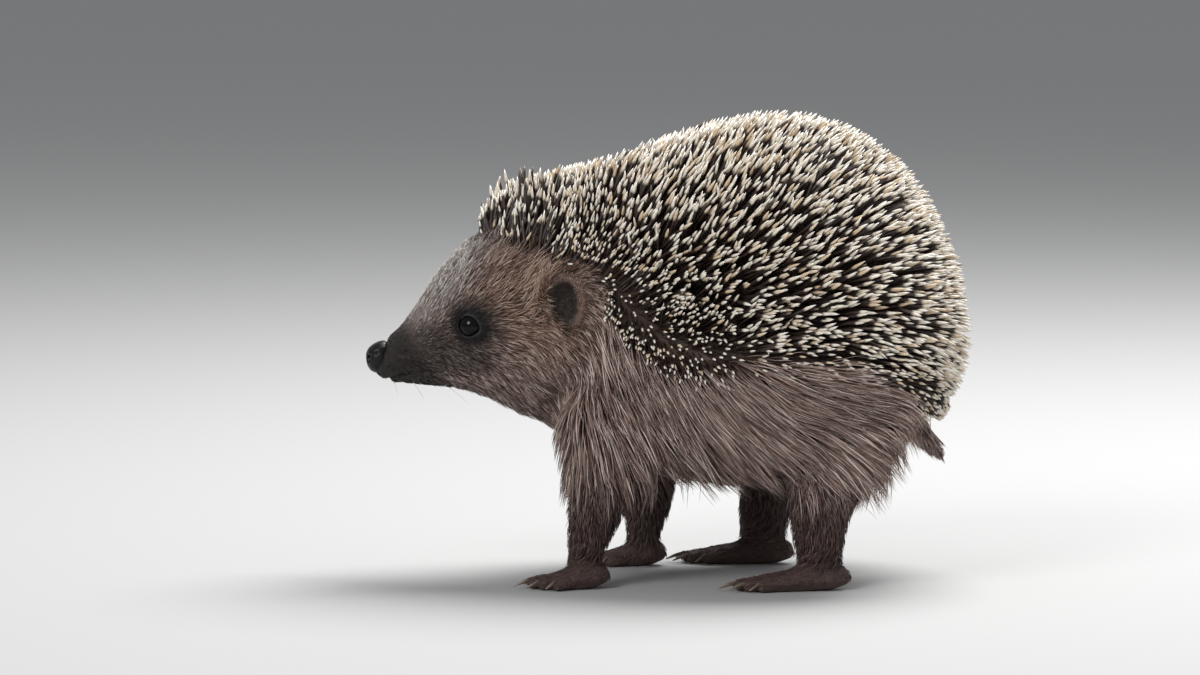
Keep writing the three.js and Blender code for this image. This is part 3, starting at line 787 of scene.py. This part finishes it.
# Roots scattered over the skin. density is in roots per square mm, one value for each triangle.
def scatterRoots(density, seed):
    chance = np.random.default_rng(seed)
    count = chance.poisson(np.maximum(density, 0) * ground["area"] / mm ** 2)
    tri = np.repeat(np.arange(len(count)), count)
    a, b = chance.random((2, len(tri)))
    a, b = np.where(a + b > 1, 1 - a, a), np.where(a + b > 1, 1 - b, b)
    weights = np.stack([1 - a - b, a, b], 1)[:, :, None]
    corners = ground["corners"][tri]
    owner = ground["owner"][corners[:, 0]]
    return {"place": (ground["points"][corners] * weights).sum(1),
            "normal": unit((ground["normals"][corners] * weights).sum(1)),
            "uv": (ground["uv"][tri] * weights).sum(1),
            "depth": (ground["depth"][corners] * weights[:, :, 0]).sum(1), "owner": owner}


def keepRoots(roots, chosen):
    return {key: value[chosen] for key, value in roots.items()}


# Drops roots that stand closer together than the spacing wanted there.
def spaceOut(roots, spacing):
    cells, kept = {}, []
    keys = np.floor(roots["place"] / spacing.max()).astype(int).tolist()
    for place, key, i in zip(roots["place"].tolist(), keys, range(len(keys))):
        around = [(key[0] + a, key[1] + b, key[2] + c) for a in (-1, 0, 1) for b in (-1, 0, 1) for c in (-1, 0, 1)]
        close = any((place[0] - q[0]) ** 2 + (place[1] - q[1]) ** 2 + (place[2] - q[2]) ** 2 < spacing[i] ** 2
                    for cell in around for q in cells.get(cell, ()))
        if not close:
            cells.setdefault(tuple(key), []).append(place)
            kept.append(i)
    return keepRoots(roots, np.array(kept))


# The lie of a coat, as angles in degrees at places seen from the left side: 0 points to the tail, 90 up.
def lieAt(points, lies):
    table = np.array(lies, float)
    offset = (points[:, None, [0, 2]] / mm - table[None, :, :2])
    weight = 1 / ((offset ** 2).sum(2) + 40) ** 2
    angle = np.radians(table[:, 2])
    along, up = weight @ np.cos(angle), weight @ np.sin(angle)
    return unit(np.stack([along, np.zeros(len(points)), up], 1))


def turnAbout(vectors, axis, angle):
    cosine, sine = np.cos(angle)[:, None], np.sin(angle)[:, None]
    return vectors * cosine + np.cross(axis, vectors) * sine + axis * (axis * vectors).sum(1)[:, None] * (1 - cosine)


def layFlat(vectors, normals):
    return unit(vectors - normals * (vectors * normals).sum(1)[:, None] + np.array([1e-6, 0, 0]))


def footUnder(points):
    found = [ground["tree"].find_nearest(p) for p in points.tolist()]
    return np.array([f[0][:] for f in found]), np.array([f[1][:] for f in found])


# Hair lines that follow the lie over the skin, rising to their height and bending only slowly.
def combLines(roots, lie, length, height, steps, stiffness, freedom, stray, seed):
    chance = np.random.default_rng(seed)
    size = len(length)
    turn = chance.normal(0, np.radians(stray), size)
    place = roots["place"] - roots["normal"] * 0.25 * mm
    foot, normal = roots["place"], roots["normal"]
    lines, heading, rise = [place], None, np.full(size, -0.25 * mm)
    step = length / steps
    for k in range(steps):
        # on the rump, which faces backwards, hair hangs down
        behind = (smoothStep(normal[:, 0], 0.3, 0.7) * smoothStep(foot[:, 0] / mm, 50, 62))[:, None]
        way = unit(lie(foot) * (1 - behind) + np.array([-0.15, 0, -1]) * behind)
        flat = turnAbout(layFlat(way, normal), normal, turn)
        wanted = height * math.sin(math.pi / 2 * min(1.0, (k + 1) / steps * 1.25))
        slope = np.clip((wanted - rise) / step, -0.7 * (1 - 0.8 * freedom * (k >= steps / 2)), 1.1)
        ahead = unit(flat + normal * slope[:, None] + np.array([0, 0, -0.35 * freedom * k / steps]))
        stiff = stiffness + (0.88 - stiffness) * freedom * k / steps
        heading = ahead if heading is None else unit(heading * stiff + ahead * (1 - stiff))
        place = place + heading * step[:, None]
        foot, normal = footUnder(place)
        rise = ((place - foot) * normal).sum(1)
        short = np.maximum(0.12 * mm - rise, 0)
        place, rise = place + normal * short[:, None], rise + short
        place[:, 2] = np.maximum(place[:, 2], 0.15 * mm)
        lines.append(place)
    return np.stack(lines, 1)


# Draws the hair lines of a lock towards one line among them.
def gatherLocks(lines, share, pull, seed):
    chance = np.random.default_rng(seed)
    size = len(lines)
    leaders = chance.choice(size, max(1, int(size * share)), replace=False)
    tree = KDTree(len(leaders))
    for i, leader in enumerate(leaders.tolist()):
        tree.insert(lines[leader, 1], i)
    tree.balance()
    match = leaders[np.array([tree.find(p)[1] for p in lines[:, 1].tolist()])]
    steps = np.linspace(0, 1, lines.shape[1])[None, :, None]
    pulls = (pull * chance.uniform(0.5, 1, size))[:, None, None] * steps ** 1.3
    return lines + (lines[match] - lines) * pulls


patchSize = 0.003  # of the skin's map, for one hair or spine


# One mesh of many tapered rods. lines holds their points, radius their thickness at all but the tip.
def makeRods(name, paint, lines, radius, sides, roots, tone, marks=None, thin=1.0):
    size, rings = radius.shape
    marks = np.linspace(0, 1, rings + 1) if marks is None else marks
    along = unit(np.gradient(lines, axis=1))
    side = unit(np.cross(roots["normal"][:, None, :], along[:, :rings]) + 1e-9)
    over = np.cross(along[:, :rings], side)
    angle = 2 * math.pi * (np.arange(sides) + 0.25) / sides
    round_ = (np.cos(angle)[None, None, :, None] * side[:, :, None, :]
              + thin * np.sin(angle)[None, None, :, None] * over[:, :, None, :])
    walls = lines[:, :rings, None, :] + radius[:, :, None, None] * round_
    perRod = rings * sides + 1
    points = np.concatenate([walls.reshape(size, -1, 3), lines[:, -1:, :]], 1).reshape(-1, 3)
    faces = [list(range(sides))[::-1]]
    for k in range(rings - 1):
        for j in range(sides):
            n = (j + 1) % sides
            faces.append([k * sides + j, k * sides + n, (k + 1) * sides + n, (k + 1) * sides + j])
    last = (rings - 1) * sides
    faces += [[last + j, last + (j + 1) % sides, perRod - 1] for j in range(sides)]
    pattern = np.concatenate([np.array(f) for f in faces])
    corners = (pattern[None, :] + (np.arange(size) * perRod)[:, None]).ravel()
    lengths = np.tile(np.array([len(f) for f in faces]), size)
    mesh = bpy.data.meshes.new(name)
    mesh.vertices.add(len(points))
    mesh.vertices.foreach_set("co", points.astype(np.float32).ravel())
    mesh.loops.add(len(corners))
    mesh.loops.foreach_set("vertex_index", corners.astype(np.int32))
    mesh.polygons.add(len(lengths))
    mesh.polygons.foreach_set("loop_start", np.concatenate([[0], np.cumsum(lengths)[:-1]]).astype(np.int32))
    mesh.polygons.foreach_set("use_smooth", np.ones(len(lengths), bool))
    mesh.update(calc_edges=True)
    grade = np.append(np.repeat(marks[:rings], sides), 1.0)
    across = np.append(np.tile(np.arange(sides) / sides, rings), 0.5)
    patch = np.stack([grade - 0.5, across - 0.5], 1) * patchSize
    uv = (roots["uv"][:, None, :] + patch[None, :, :]).reshape(-1, 2)
    layer = mesh.uv_layers.new(name="OFBake")
    layer.data.foreach_set("uv", uv[corners].astype(np.float32).ravel())
    strand = np.stack([np.tile(grade, size), np.repeat(tone, perRod), np.zeros(size * perRod)], 1)
    for title, values in (("strand", strand), ("root", np.repeat(roots["place"], perRod, axis=0))):
        layer = mesh.attributes.new(title, "FLOAT_VECTOR", "POINT")
        layer.data.foreach_set("vector", values.astype(np.float32).ravel())
    piece = bpy.data.objects.new(name, mesh)
    bpy.context.scene.collection.objects.link(piece)
    mesh.materials.append(paint)
    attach(piece, "root")
    say(f"{name}: {size} rods, {len(mesh.polygons)} faces")
    return piece


def isPart(owner, *words):
    names = skinLook["flesh"]
    return np.isin(owner, [n for n, name in enumerate(names) if any(word in name for word in words)])


# The spines: stiff, sharp rods that stand out of the back and reach the outer surface of the mantle.

spineLook = {
    "seed": 11,
    "perSquare": 1.9,        # candidates for each square mm, before they are spaced out
    "spacing": 1.34 * mm,
    "front": -58.5 * mm,     # no spines grow before this
    "clearOfEar": 10.5 * mm,
    "shortest": 7.5 * mm,
    "longest": 24 * mm,
    "wish": (19, 23),
    # how long the spines along the mantle's edge are, by place, and how far that varies
    "edgeShare": [[-62, 0.8], [-48, 0.75], [-30, 0.42], [-5, 0.45], [20, 0.65]],
    "crownVary": 0.45,
    "tallShare": 0.13,       # of the crown's spines, which stand out over the rest
    "thick": 0.6 * mm,       # radius at the widest
    "stray": 12,             # degrees
    "crownStray": 9,         # and more on the crown and the shoulders
    "shoulderStray": 8,
    "shoulderShort": 0.3,
    "shape": [(0, 0.55), (0.45, 0.85), (0.82, 1.0), (0.92, 0.66)],
    "pieces": 2,
    "lies": [[-58, 112, 100], [-50, 122, 88], [-36, 127, 74], [-32, 110, 68], [-22, 103, 25], [-10, 95, 12],
             [-12, 86, -40], [-5, 110, 38], [-10, 128, 64], [15, 138, 62], [35, 143, 58], [55, 138, 50],
             [75, 122, 36], [88, 100, 0], [93, 80, -25], [90, 62, -48], [20, 115, 42], [45, 115, 36], [65, 110, 27],
             [15, 95, 20], [40, 92, 17], [70, 90, 7], [0, 82, -30], [8, 74, -58], [20, 84, -6], [36, 75, -34],
             [60, 76, -25], [75, 70, -28], [85, 58, -40], [60, 67, -42]],
}


# How far above the mantle's edge the spines start.
def hemStart(points):
    return np.interp(points[:, 0] / mm, hemShift[:, 0], hemShift[:, 1])


# Above the foreleg, where the spines part to run back and down, they are short and close together.
def lowShoulder(points):
    x = points[:, 0] / mm
    return smoothStep(x, -36, -28) * (1 - smoothStep(x, 6, 24)) * (1 - smoothStep(overHem(points), 12, 30))


def makeSpines():
    look = spineLook
    middle, owner = ground["middle"], ground["owner"][ground["corners"][:, 0]]
    inside = isPart(owner, "mantle", "head", "neck", "trunk") & (overHem(middle) > hemStart(middle)) \
        & (middle[:, 0] > look["front"])
    for ear in ("ear_left", "ear_right"):
        inside &= np.linalg.norm(middle - middleOf(ear), axis=1) > look["clearOfEar"]
    roots = scatterRoots(look["perSquare"] * inside, look["seed"])
    roots = spaceOut(roots, look["spacing"] * (1 - 0.24 * lowShoulder(roots["place"])))
    chance = np.random.default_rng(look["seed"] + 1)
    size = len(roots["uv"])
    crown = smoothStep(-roots["place"][:, 0] / mm, 34, 50)
    lie = lieAt(roots["place"], look["lies"])
    flat = layFlat(lie, roots["normal"])
    # where the lie points straight out of the body the spines stand up instead
    upright = 1 - smoothStep(np.sqrt(1 - np.clip((lie * roots["normal"]).sum(1), -1, 1) ** 2), 0.15, 0.8)
    wild = np.where((chance.random(size) < 0.1) & (roots["place"][:, 0] > -46 * mm), 2.4, 1.0)
    aside = lowShoulder(roots["place"])
    stray = look["stray"] + look["crownStray"] * crown + look["shoulderStray"] * aside
    flat = turnAbout(flat, roots["normal"], chance.normal(0, 1, size) * np.radians(stray) * wild)
    inner = smoothStep(overHem(roots["place"]), 0, 17)
    edgeTable = np.array(look["edgeShare"])
    edge = np.interp(roots["place"][:, 0] / mm, edgeTable[:, 0], edgeTable[:, 1])
    wish = chance.uniform(*look["wish"], size) * (edge + (1 - edge) * inner) * mm
    wish = wish * (1 - look["crownVary"] * crown * chance.random(size) ** 1.5) * (1 - look["shoulderShort"] * aside)
    tall = (chance.random(size) < look["tallShare"]) & (crown > 0.4)
    lean = np.arcsin(np.clip(roots["depth"] * chance.uniform(0.9, 1.2, size) / wish, 0.2, 0.92))
    lean = lean + (math.radians(78) - lean) * upright
    heading = flat * np.cos(lean)[:, None] + roots["normal"] * np.sin(lean)[:, None]
    reach = [outerTree.ray_cast(p, d)[3] for p, d in zip(roots["place"].tolist(), heading.tolist())]
    reach = np.array([r if r else 0.0 for r in reach])
    reach = np.minimum(np.where(reach > 0, reach, wish), wish * 1.12)
    length = np.clip(reach * chance.uniform(0.88, 1.08, size) + np.where(tall, 4 * mm, 0),
                     look["shortest"], look["longest"])
    shape = np.array(look["shape"])
    marks = np.append(shape[:, 0], 1.0)
    bow = (chance.normal(0, 0.035, size) * length)[:, None, None] * np.sin(math.pi * marks)[None, :, None]
    lines = (roots["place"] - roots["normal"] * 0.6 * mm)[:, None, :] \
        + heading[:, None, :] * (length[:, None] * marks[None, :])[:, :, None] + roots["normal"][:, None, :] * bow
    thick = look["thick"] * chance.uniform(0.82, 1.1, size) * np.clip(length / (17 * mm), 0.72, 1)
    radius = shape[None, :, 1] * thick[:, None]
    tone = np.where(tall & (chance.random(size) < 0.6), 1.0, chance.random(size))
    order = np.argsort(roots["place"][:, 0])
    pieces = []
    for n, part in enumerate(np.array_split(order, look["pieces"])):
        pieces.append(makeRods(f"spines{n + 1}", spinePaint, lines[part], radius[part], 5,
                               keepRoots(roots, part), tone[part], marks))
    return pieces


spinePieces = makeSpines()

# The hair. Each coat has its own density, length, height over the skin and locks.

hairLies = [
    [-90, 74, 35], [-85, 77, 45], [-75, 92, 50], [-65, 102, 48], [-55, 108, 42], [-72, 84, 35], [-60, 90, 40],
    [-50, 93, 34], [-42, 96, 24], [-33, 99, 12], [-60, 74, -8], [-50, 76, -14], [-50, 84, 8], [-80, 68, 5],
    [-70, 68, -8], [-65, 63, -18], [-72, 60, -22], [-45, 62, -30], [-40, 84, -8], [-36, 72, -50],
    [-30, 60, -66], [-24, 90, -30], [-20, 72, -60], [-15, 84, -52], [-12, 55, -66], [-5, 68, -48], [0, 50, -54],
    [5, 38, -58], [15, 60, -32], [20, 45, -44], [30, 58, -18], [45, 62, -6], [60, 62, 0], [74, 60, 4],
    [60, 54, -12], [75, 50, -18],
    [35, 42, -42], [50, 45, -34], [65, 45, -42], [-30, 35, -85], [-28, 20, -88], [-20, 20, -88],
    [55, 28, -80], [60, 18, -86], [40, 20, -86], [-38, 5, 182], [-26, 6, 200], [30, 5, 182], [48, 6, 200],
    [86, 50, -78], [82, 40, -84], [88, 34, -80], [82, 56, -62], [90, 58, -74], [76, 36, -80], [78, 47, -58],
]


def hairLie(points):
    return lieAt(points, hairLies)


def lengthAlong(roots, table):
    table = np.array(table, float)
    return np.interp(roots["place"][:, 0] / mm, table[:, 0], table[:, 1]) * mm


# One coat of hair, parted into pieces from the nose to the tail.
def makeHair(name, look, roots, lie=hairLie):
    chance = np.random.default_rng(look["seed"] + 1)
    size = len(roots["uv"])
    length = look["length"] * mm if np.isscalar(look["length"]) else lengthAlong(roots, look["length"])
    nearEye = np.min([np.linalg.norm(roots["place"] - middleOf(n), axis=1) for n in ("eye_left", "eye_right")], axis=0)
    nearEar = np.min([np.linalg.norm(roots["place"] - middleOf(n), axis=1) for n in ("ear_left", "ear_right")], axis=0)
    length = length * chance.uniform(0.7, 1.15, size) * (0.4 + 0.6 * smoothStep(nearEye / mm, 4.5, 11)) \
        * (0.55 + 0.45 * smoothStep(nearEar / mm, 7, 15))
    height = np.maximum(roots["depth"], look.get("least", 0.4) * mm) * chance.uniform(*look["rise"], size)
    lines = combLines(roots, lie, length, height, look["rings"], look["stiffness"], look.get("freedom", 0),
                      look["stray"], look["seed"] + 2)
    lines = gatherLocks(lines, look["locks"], look["pull"], look["seed"] + 3)
    marks = np.linspace(0, 1, look["rings"] + 1)[:-1]
    taper = np.interp(marks, [0, 0.25, 0.6, 0.85, 1], [0.8, 1, 0.85, 0.5, 0.2])
    radius = taper[None, :] * (look["thick"] * mm * chance.uniform(0.75, 1.2, size))[:, None]
    tone = chance.uniform(*look.get("tone", (0, 1)), size)
    order = np.argsort(roots["place"][:, 0])
    parts = np.array_split(order, look["pieces"])
    return [makeRods(f"{name}{n + 1}" if len(parts) > 1 else name, hairPaint, lines[p], radius[p], 3,
                     keepRoots(roots, p), tone[p]) for n, p in enumerate(parts)]


def placeOfOwners(words):
    corner = ground["corners"][:, 0]
    return isPart(ground["owner"][corner], *words)


middle = ground["middle"]
hemOver = overHem(middle)
hemLimit = hemStart(middle)
corner = ground["corners"][:, 0]
faceDown = ground["normals"][corner][:, 2]
underSpines = placeOfOwners(["mantle", "trunk", "neck", "head"]) & (hemOver > hemLimit + 1.5)

flankLook = {"seed": 31, "perSquare": 1.22, "length": [[-45, 14], [-25, 19], [0, 25], [50, 25], [68, 17], [84, 9]],
             "rise": (0.3, 1.15), "rings": 5, "stiffness": 0.6, "freedom": 1, "stray": 7, "locks": 0.1, "pull": 0.75,
             "thick": 0.19, "pieces": 2}
flankPlace = (placeOfOwners(["trunk", "mantle"]) & ~underSpines & (faceDown > -0.6)) \
    | (placeOfOwners(["neck"]) & (middle[:, 0] > -40 * mm) & ~underSpines) \
    | (placeOfOwners(["leg"]) & (middle[:, 2] > 42 * mm))
flankHair = makeHair("flankHair", flankLook, scatterRoots(flankLook["perSquare"] * flankPlace, flankLook["seed"]))

bellyLook = {"seed": 41, "perSquare": 1.1, "length": 14, "rise": (0.3, 1.0), "rings": 4, "stiffness": 0.5,
             "stray": 10, "locks": 0.12, "pull": 0.6, "thick": 0.19, "pieces": 1}
bellyPlace = placeOfOwners(["trunk"]) & (faceDown <= -0.6)
bellyHair = makeHair("bellyHair", bellyLook, scatterRoots(bellyLook["perSquare"] * bellyPlace, bellyLook["seed"]))

headLook = {"seed": 51, "perSquare": 3.2, "length": [[-84, 2.0], [-76, 3.3], [-66, 5.2], [-52, 8], [-38, 11]],
            "rise": (0.15, 1.05), "rings": 3, "stiffness": 0.45, "stray": 13, "locks": 0.16, "pull": 0.55,
            "thick": 0.12, "pieces": 2}
headPlace = placeOfOwners(["head", "jaw"]) | (placeOfOwners(["neck"]) & (middle[:, 0] < -34 * mm))
headPlace &= hemOver < hemLimit + 2
for eyeName in ("eye_left", "eye_right"):
    headPlace &= np.linalg.norm(middle - middleOf(eyeName), axis=1) > 4.35 * mm
headHair = makeHair("headHair", headLook, scatterRoots(headLook["perSquare"] * headPlace, headLook["seed"]))

muzzleLook = {"seed": 61, "perSquare": 6.5, "length": [[-93, 0.8], [-86, 1.3], [-80, 2.1], [-60, 3.5]],
              "rise": (0.15, 0.8), "least": 0.25, "rings": 2, "stiffness": 0.3, "stray": 10, "locks": 0.2, "pull": 0.2,
              "thick": 0.07, "pieces": 1}
muzzleHair = makeHair("muzzleHair", muzzleLook,
                      scatterRoots(muzzleLook["perSquare"] * placeOfOwners(["muzzle"]), muzzleLook["seed"]))

legLook = {"seed": 71, "perSquare": 1.8, "length": 5.5, "rise": (0.2, 1.0), "rings": 3, "stiffness": 0.4, "stray": 11,
           "locks": 0.14, "pull": 0.3, "thick": 0.13, "pieces": 1}
legPlace = placeOfOwners(["leg"]) & (middle[:, 2] <= 44 * mm) & (middle[:, 2] > 9 * mm)
legHair = makeHair("legHair", legLook, scatterRoots(legLook["perSquare"] * legPlace, legLook["seed"]))

footLook = {"seed": 81, "perSquare": 4, "length": 2.3, "rise": (0.2, 1.0), "least": 0.35, "rings": 2,
            "stiffness": 0.3, "stray": 12, "locks": 0.25, "pull": 0.2, "thick": 0.07, "pieces": 1}
footPlace = (placeOfOwners(["foot"]) | (placeOfOwners(["leg"]) & (middle[:, 2] <= 9 * mm))) & (faceDown > -0.1) \
    & (middle[:, 2] > 1.2 * mm)
footHair = makeHair("footHair", footLook, scatterRoots(footLook["perSquare"] * footPlace, footLook["seed"]))

tailLook = {"seed": 85, "perSquare": 3.5, "length": 3.4, "rise": (0.2, 1.0), "least": 0.7, "rings": 3,
            "stiffness": 0.4, "stray": 16, "locks": 0.2, "pull": 0.1, "thick": 0.1, "pieces": 1}
tailHair = makeHair("tailHair", tailLook, scatterRoots(tailLook["perSquare"] * placeOfOwners(["tail"]), tailLook["seed"]))

# Long light hairs that stray over the lower edge of the spines.
overLook = {"seed": 111, "perSquare": 0.8, "length": [[-55, 9], [-40, 14], [0, 18], [60, 20], [85, 10]],
            "rise": (0.9, 1.25), "rings": 5, "stiffness": 0.75, "stray": 12, "locks": 0.3, "pull": 0.35, "thick": 0.11,
            "pieces": 1}
overPlace = placeOfOwners(["mantle", "head", "neck", "trunk"]) & (abs(hemOver - hemLimit + 1) < 3.5) \
    & (middle[:, 0] < 52 * mm)
overHair = makeHair("overHair", overLook, scatterRoots(overLook["perSquare"] * overPlace, overLook["seed"]))

# Ears: short fuzz towards the rim.
earLook = {"seed": 91, "perSquare": 5.5, "length": 2.8, "rise": (0.3, 1.0), "least": 0.8, "rings": 2,
           "stiffness": 0.5, "stray": 13, "locks": 0.2, "pull": 0.4, "thick": 0.075, "pieces": 1}
earHair = makeHair("earHair", earLook, scatterRoots(earLook["perSquare"] * placeOfOwners(["ear"]), earLook["seed"]),
                   lambda points: np.tile(unit(np.array([0.45, 0, 0.9])), (len(points), 1)))

# Hair between the ears and the spines, where neither the cheek's hair nor the spines reach.
earBaseLook = {"seed": 131, "perSquare": 3.4, "length": 6.5, "rise": (0.15, 1.05), "rings": 3, "stiffness": 0.45,
               "stray": 13, "locks": 0.16, "pull": 0.55, "thick": 0.11, "pieces": 1}
earBaseAway = np.min([np.linalg.norm(middle - middleOf(name), axis=1) for name in ("ear_left", "ear_right")], axis=0)
earBasePlace = placeOfOwners(["mantle", "trunk", "neck", "head"]) & (hemOver > hemLimit) & (earBaseAway < 12 * mm)
earBaseHair = makeHair("earBaseHair", earBaseLook,
                       scatterRoots(earBaseLook["perSquare"] * earBasePlace, earBaseLook["seed"]))

# A fringe of long pale hair stands before the ear and sweeps back over it.
fringeLook = {"seed": 121, "perSquare": 2.0, "length": 10, "rise": (1.4, 2.6), "rings": 5, "stiffness": 0.6,
              "stray": 14, "locks": 0.2, "pull": 0.4, "thick": 0.11, "pieces": 1, "tone": (0.5, 1)}
fringeAway = np.linalg.norm((abs(middle) - np.array([42, 27, 90]) * mm) / np.array([7, 9, 9]), axis=1) / mm
fringePlace = placeOfOwners(["head", "neck"]) & (fringeAway < 1) & (middle[:, 0] < 0)
fringeHair = makeHair("fringeHair", fringeLook, scatterRoots(fringeLook["perSquare"] * fringePlace, fringeLook["seed"]),
                      lambda points: np.tile(unit(np.array([0.88, 0, 0.42])), (len(points), 1)))

# Whiskers: a few long thin ones on each side of the muzzle.
whiskerLook = {"seed": 101, "perSide": 15, "length": (12, 26), "thick": 0.075}


def makeWhiskers():
    look = whiskerLook
    chance = np.random.default_rng(look["seed"])
    starts, ways = [], []
    for side in (-1, 1):
        for _ in range(look["perSide"]):
            along, up = chance.random(2)
            starts.append([-89 + 11 * along, side * (6 + 3 * along), 66.5 + 6 * up])
            ways.append([0.35 + 0.5 * along + chance.normal(0, 0.12), side * 1.0, -0.35 + 0.6 * up + chance.normal(0, 0.1)])
    place, normal = footUnder(np.array(starts) * mm)
    size = len(place)
    length = chance.uniform(*look["length"], size) * mm
    marks = np.linspace(0, 1, 8)
    ways = unit(np.array(ways))
    drop = np.array([0.25, 0, -1]) * (0.16 * length)[:, None]
    lines = (place - normal * 0.3 * mm)[:, None, :] + ways[:, None, :] * (length[:, None] * marks)[:, :, None] \
        + drop[:, None, :] * (marks ** 2)[None, :, None]
    radius = (look["thick"] * mm * np.interp(marks[:-1], [0, 1], [1, 0.35]))[None, :] * np.ones((size, 1))
    below = [ground["tree"].find_nearest(p)[2] for p in place.tolist()]
    roots = {"place": place, "normal": normal, "uv": ground["uv"][below].mean(1), "depth": np.zeros(size),
             "owner": np.zeros(size)}
    return makeRods("whiskers", whiskerPaint, lines, radius, 4, roots, chance.random(size))


whiskerPaint, whiskerTree, whiskerShader = newPaint("whiskerPaint", 0.4)
whiskerColour = ramp(whiskerTree, strandInputs(whiskerTree)[1], [(0, tint(30, 24, 22)), (0.6, tint(60, 50, 46)),
                                                                 (1, tint(120, 108, 100))])
whiskerTree.links.new(whiskerColour, whiskerShader.inputs["Base Color"])
whiskers = makeWhiskers()

# The camera looks level at the animal's left side from well back.

cameraLook = {"distance": 2.2, "elevation": 5.0, "aim": (-21.4 * mm, 0, 75.3 * mm), "seenWidth": 0.3756}


def addCamera():
    data = bpy.data.cameras.new("camera")
    data.sensor_width = 36
    data.lens = data.sensor_width * cameraLook["distance"] / cameraLook["seenWidth"]
    data.clip_start, data.clip_end = 0.05, 50
    camera = bpy.data.objects.new("camera", data)
    bpy.context.scene.collection.objects.link(camera)
    angle = math.radians(cameraLook["elevation"])
    back = Vector((0, -math.cos(angle), math.sin(angle)))
    camera.location = Vector(cameraLook["aim"]) + back * cameraLook["distance"]
    camera.rotation_euler = (-back).to_track_quat("-Z", "Y").to_euler()
    bpy.context.scene.camera = camera


def addStage():
    deselectAll()
    bpy.ops.mesh.primitive_plane_add(size=30)
    floor = bpy.context.object
    floor.name = "floor"
    paint = bpy.data.materials.new("floorPaint")
    paint.use_nodes = True
    shader = paint.node_tree.nodes["Principled BSDF"]
    shader.inputs["Base Color"].default_value = (0.45, 0.45, 0.445, 1)
    shader.inputs["Roughness"].default_value = 0.9
    floor.data.materials.append(paint)
    world = bpy.data.worlds.new("studio")
    world.use_nodes = True
    world.node_tree.nodes["Background"].inputs["Color"].default_value = (0.66, 0.67, 0.69, 1)
    world.node_tree.nodes["Background"].inputs["Strength"].default_value = 0.55
    bpy.context.scene.world = world
    for name, place, size, power in (("softboxTop", (0.4, 0.38, 1.05), 0.9, 24),
                                     ("softboxFront", (-0.8, -1.3, 0.9), 0.8, 15)):
        data = bpy.data.lights.new(name, "AREA")
        data.shape, data.size, data.energy = "DISK", size, power
        light = bpy.data.objects.new(name, data)
        light.location = place
        light.rotation_euler = (Vector((0, 0, 0.07)) - Vector(place)).to_track_quat("-Z", "Y").to_euler()
        bpy.context.scene.collection.objects.link(light)


addCamera()
addStage()
bpy.context.scene.view_settings.view_transform = "Standard"
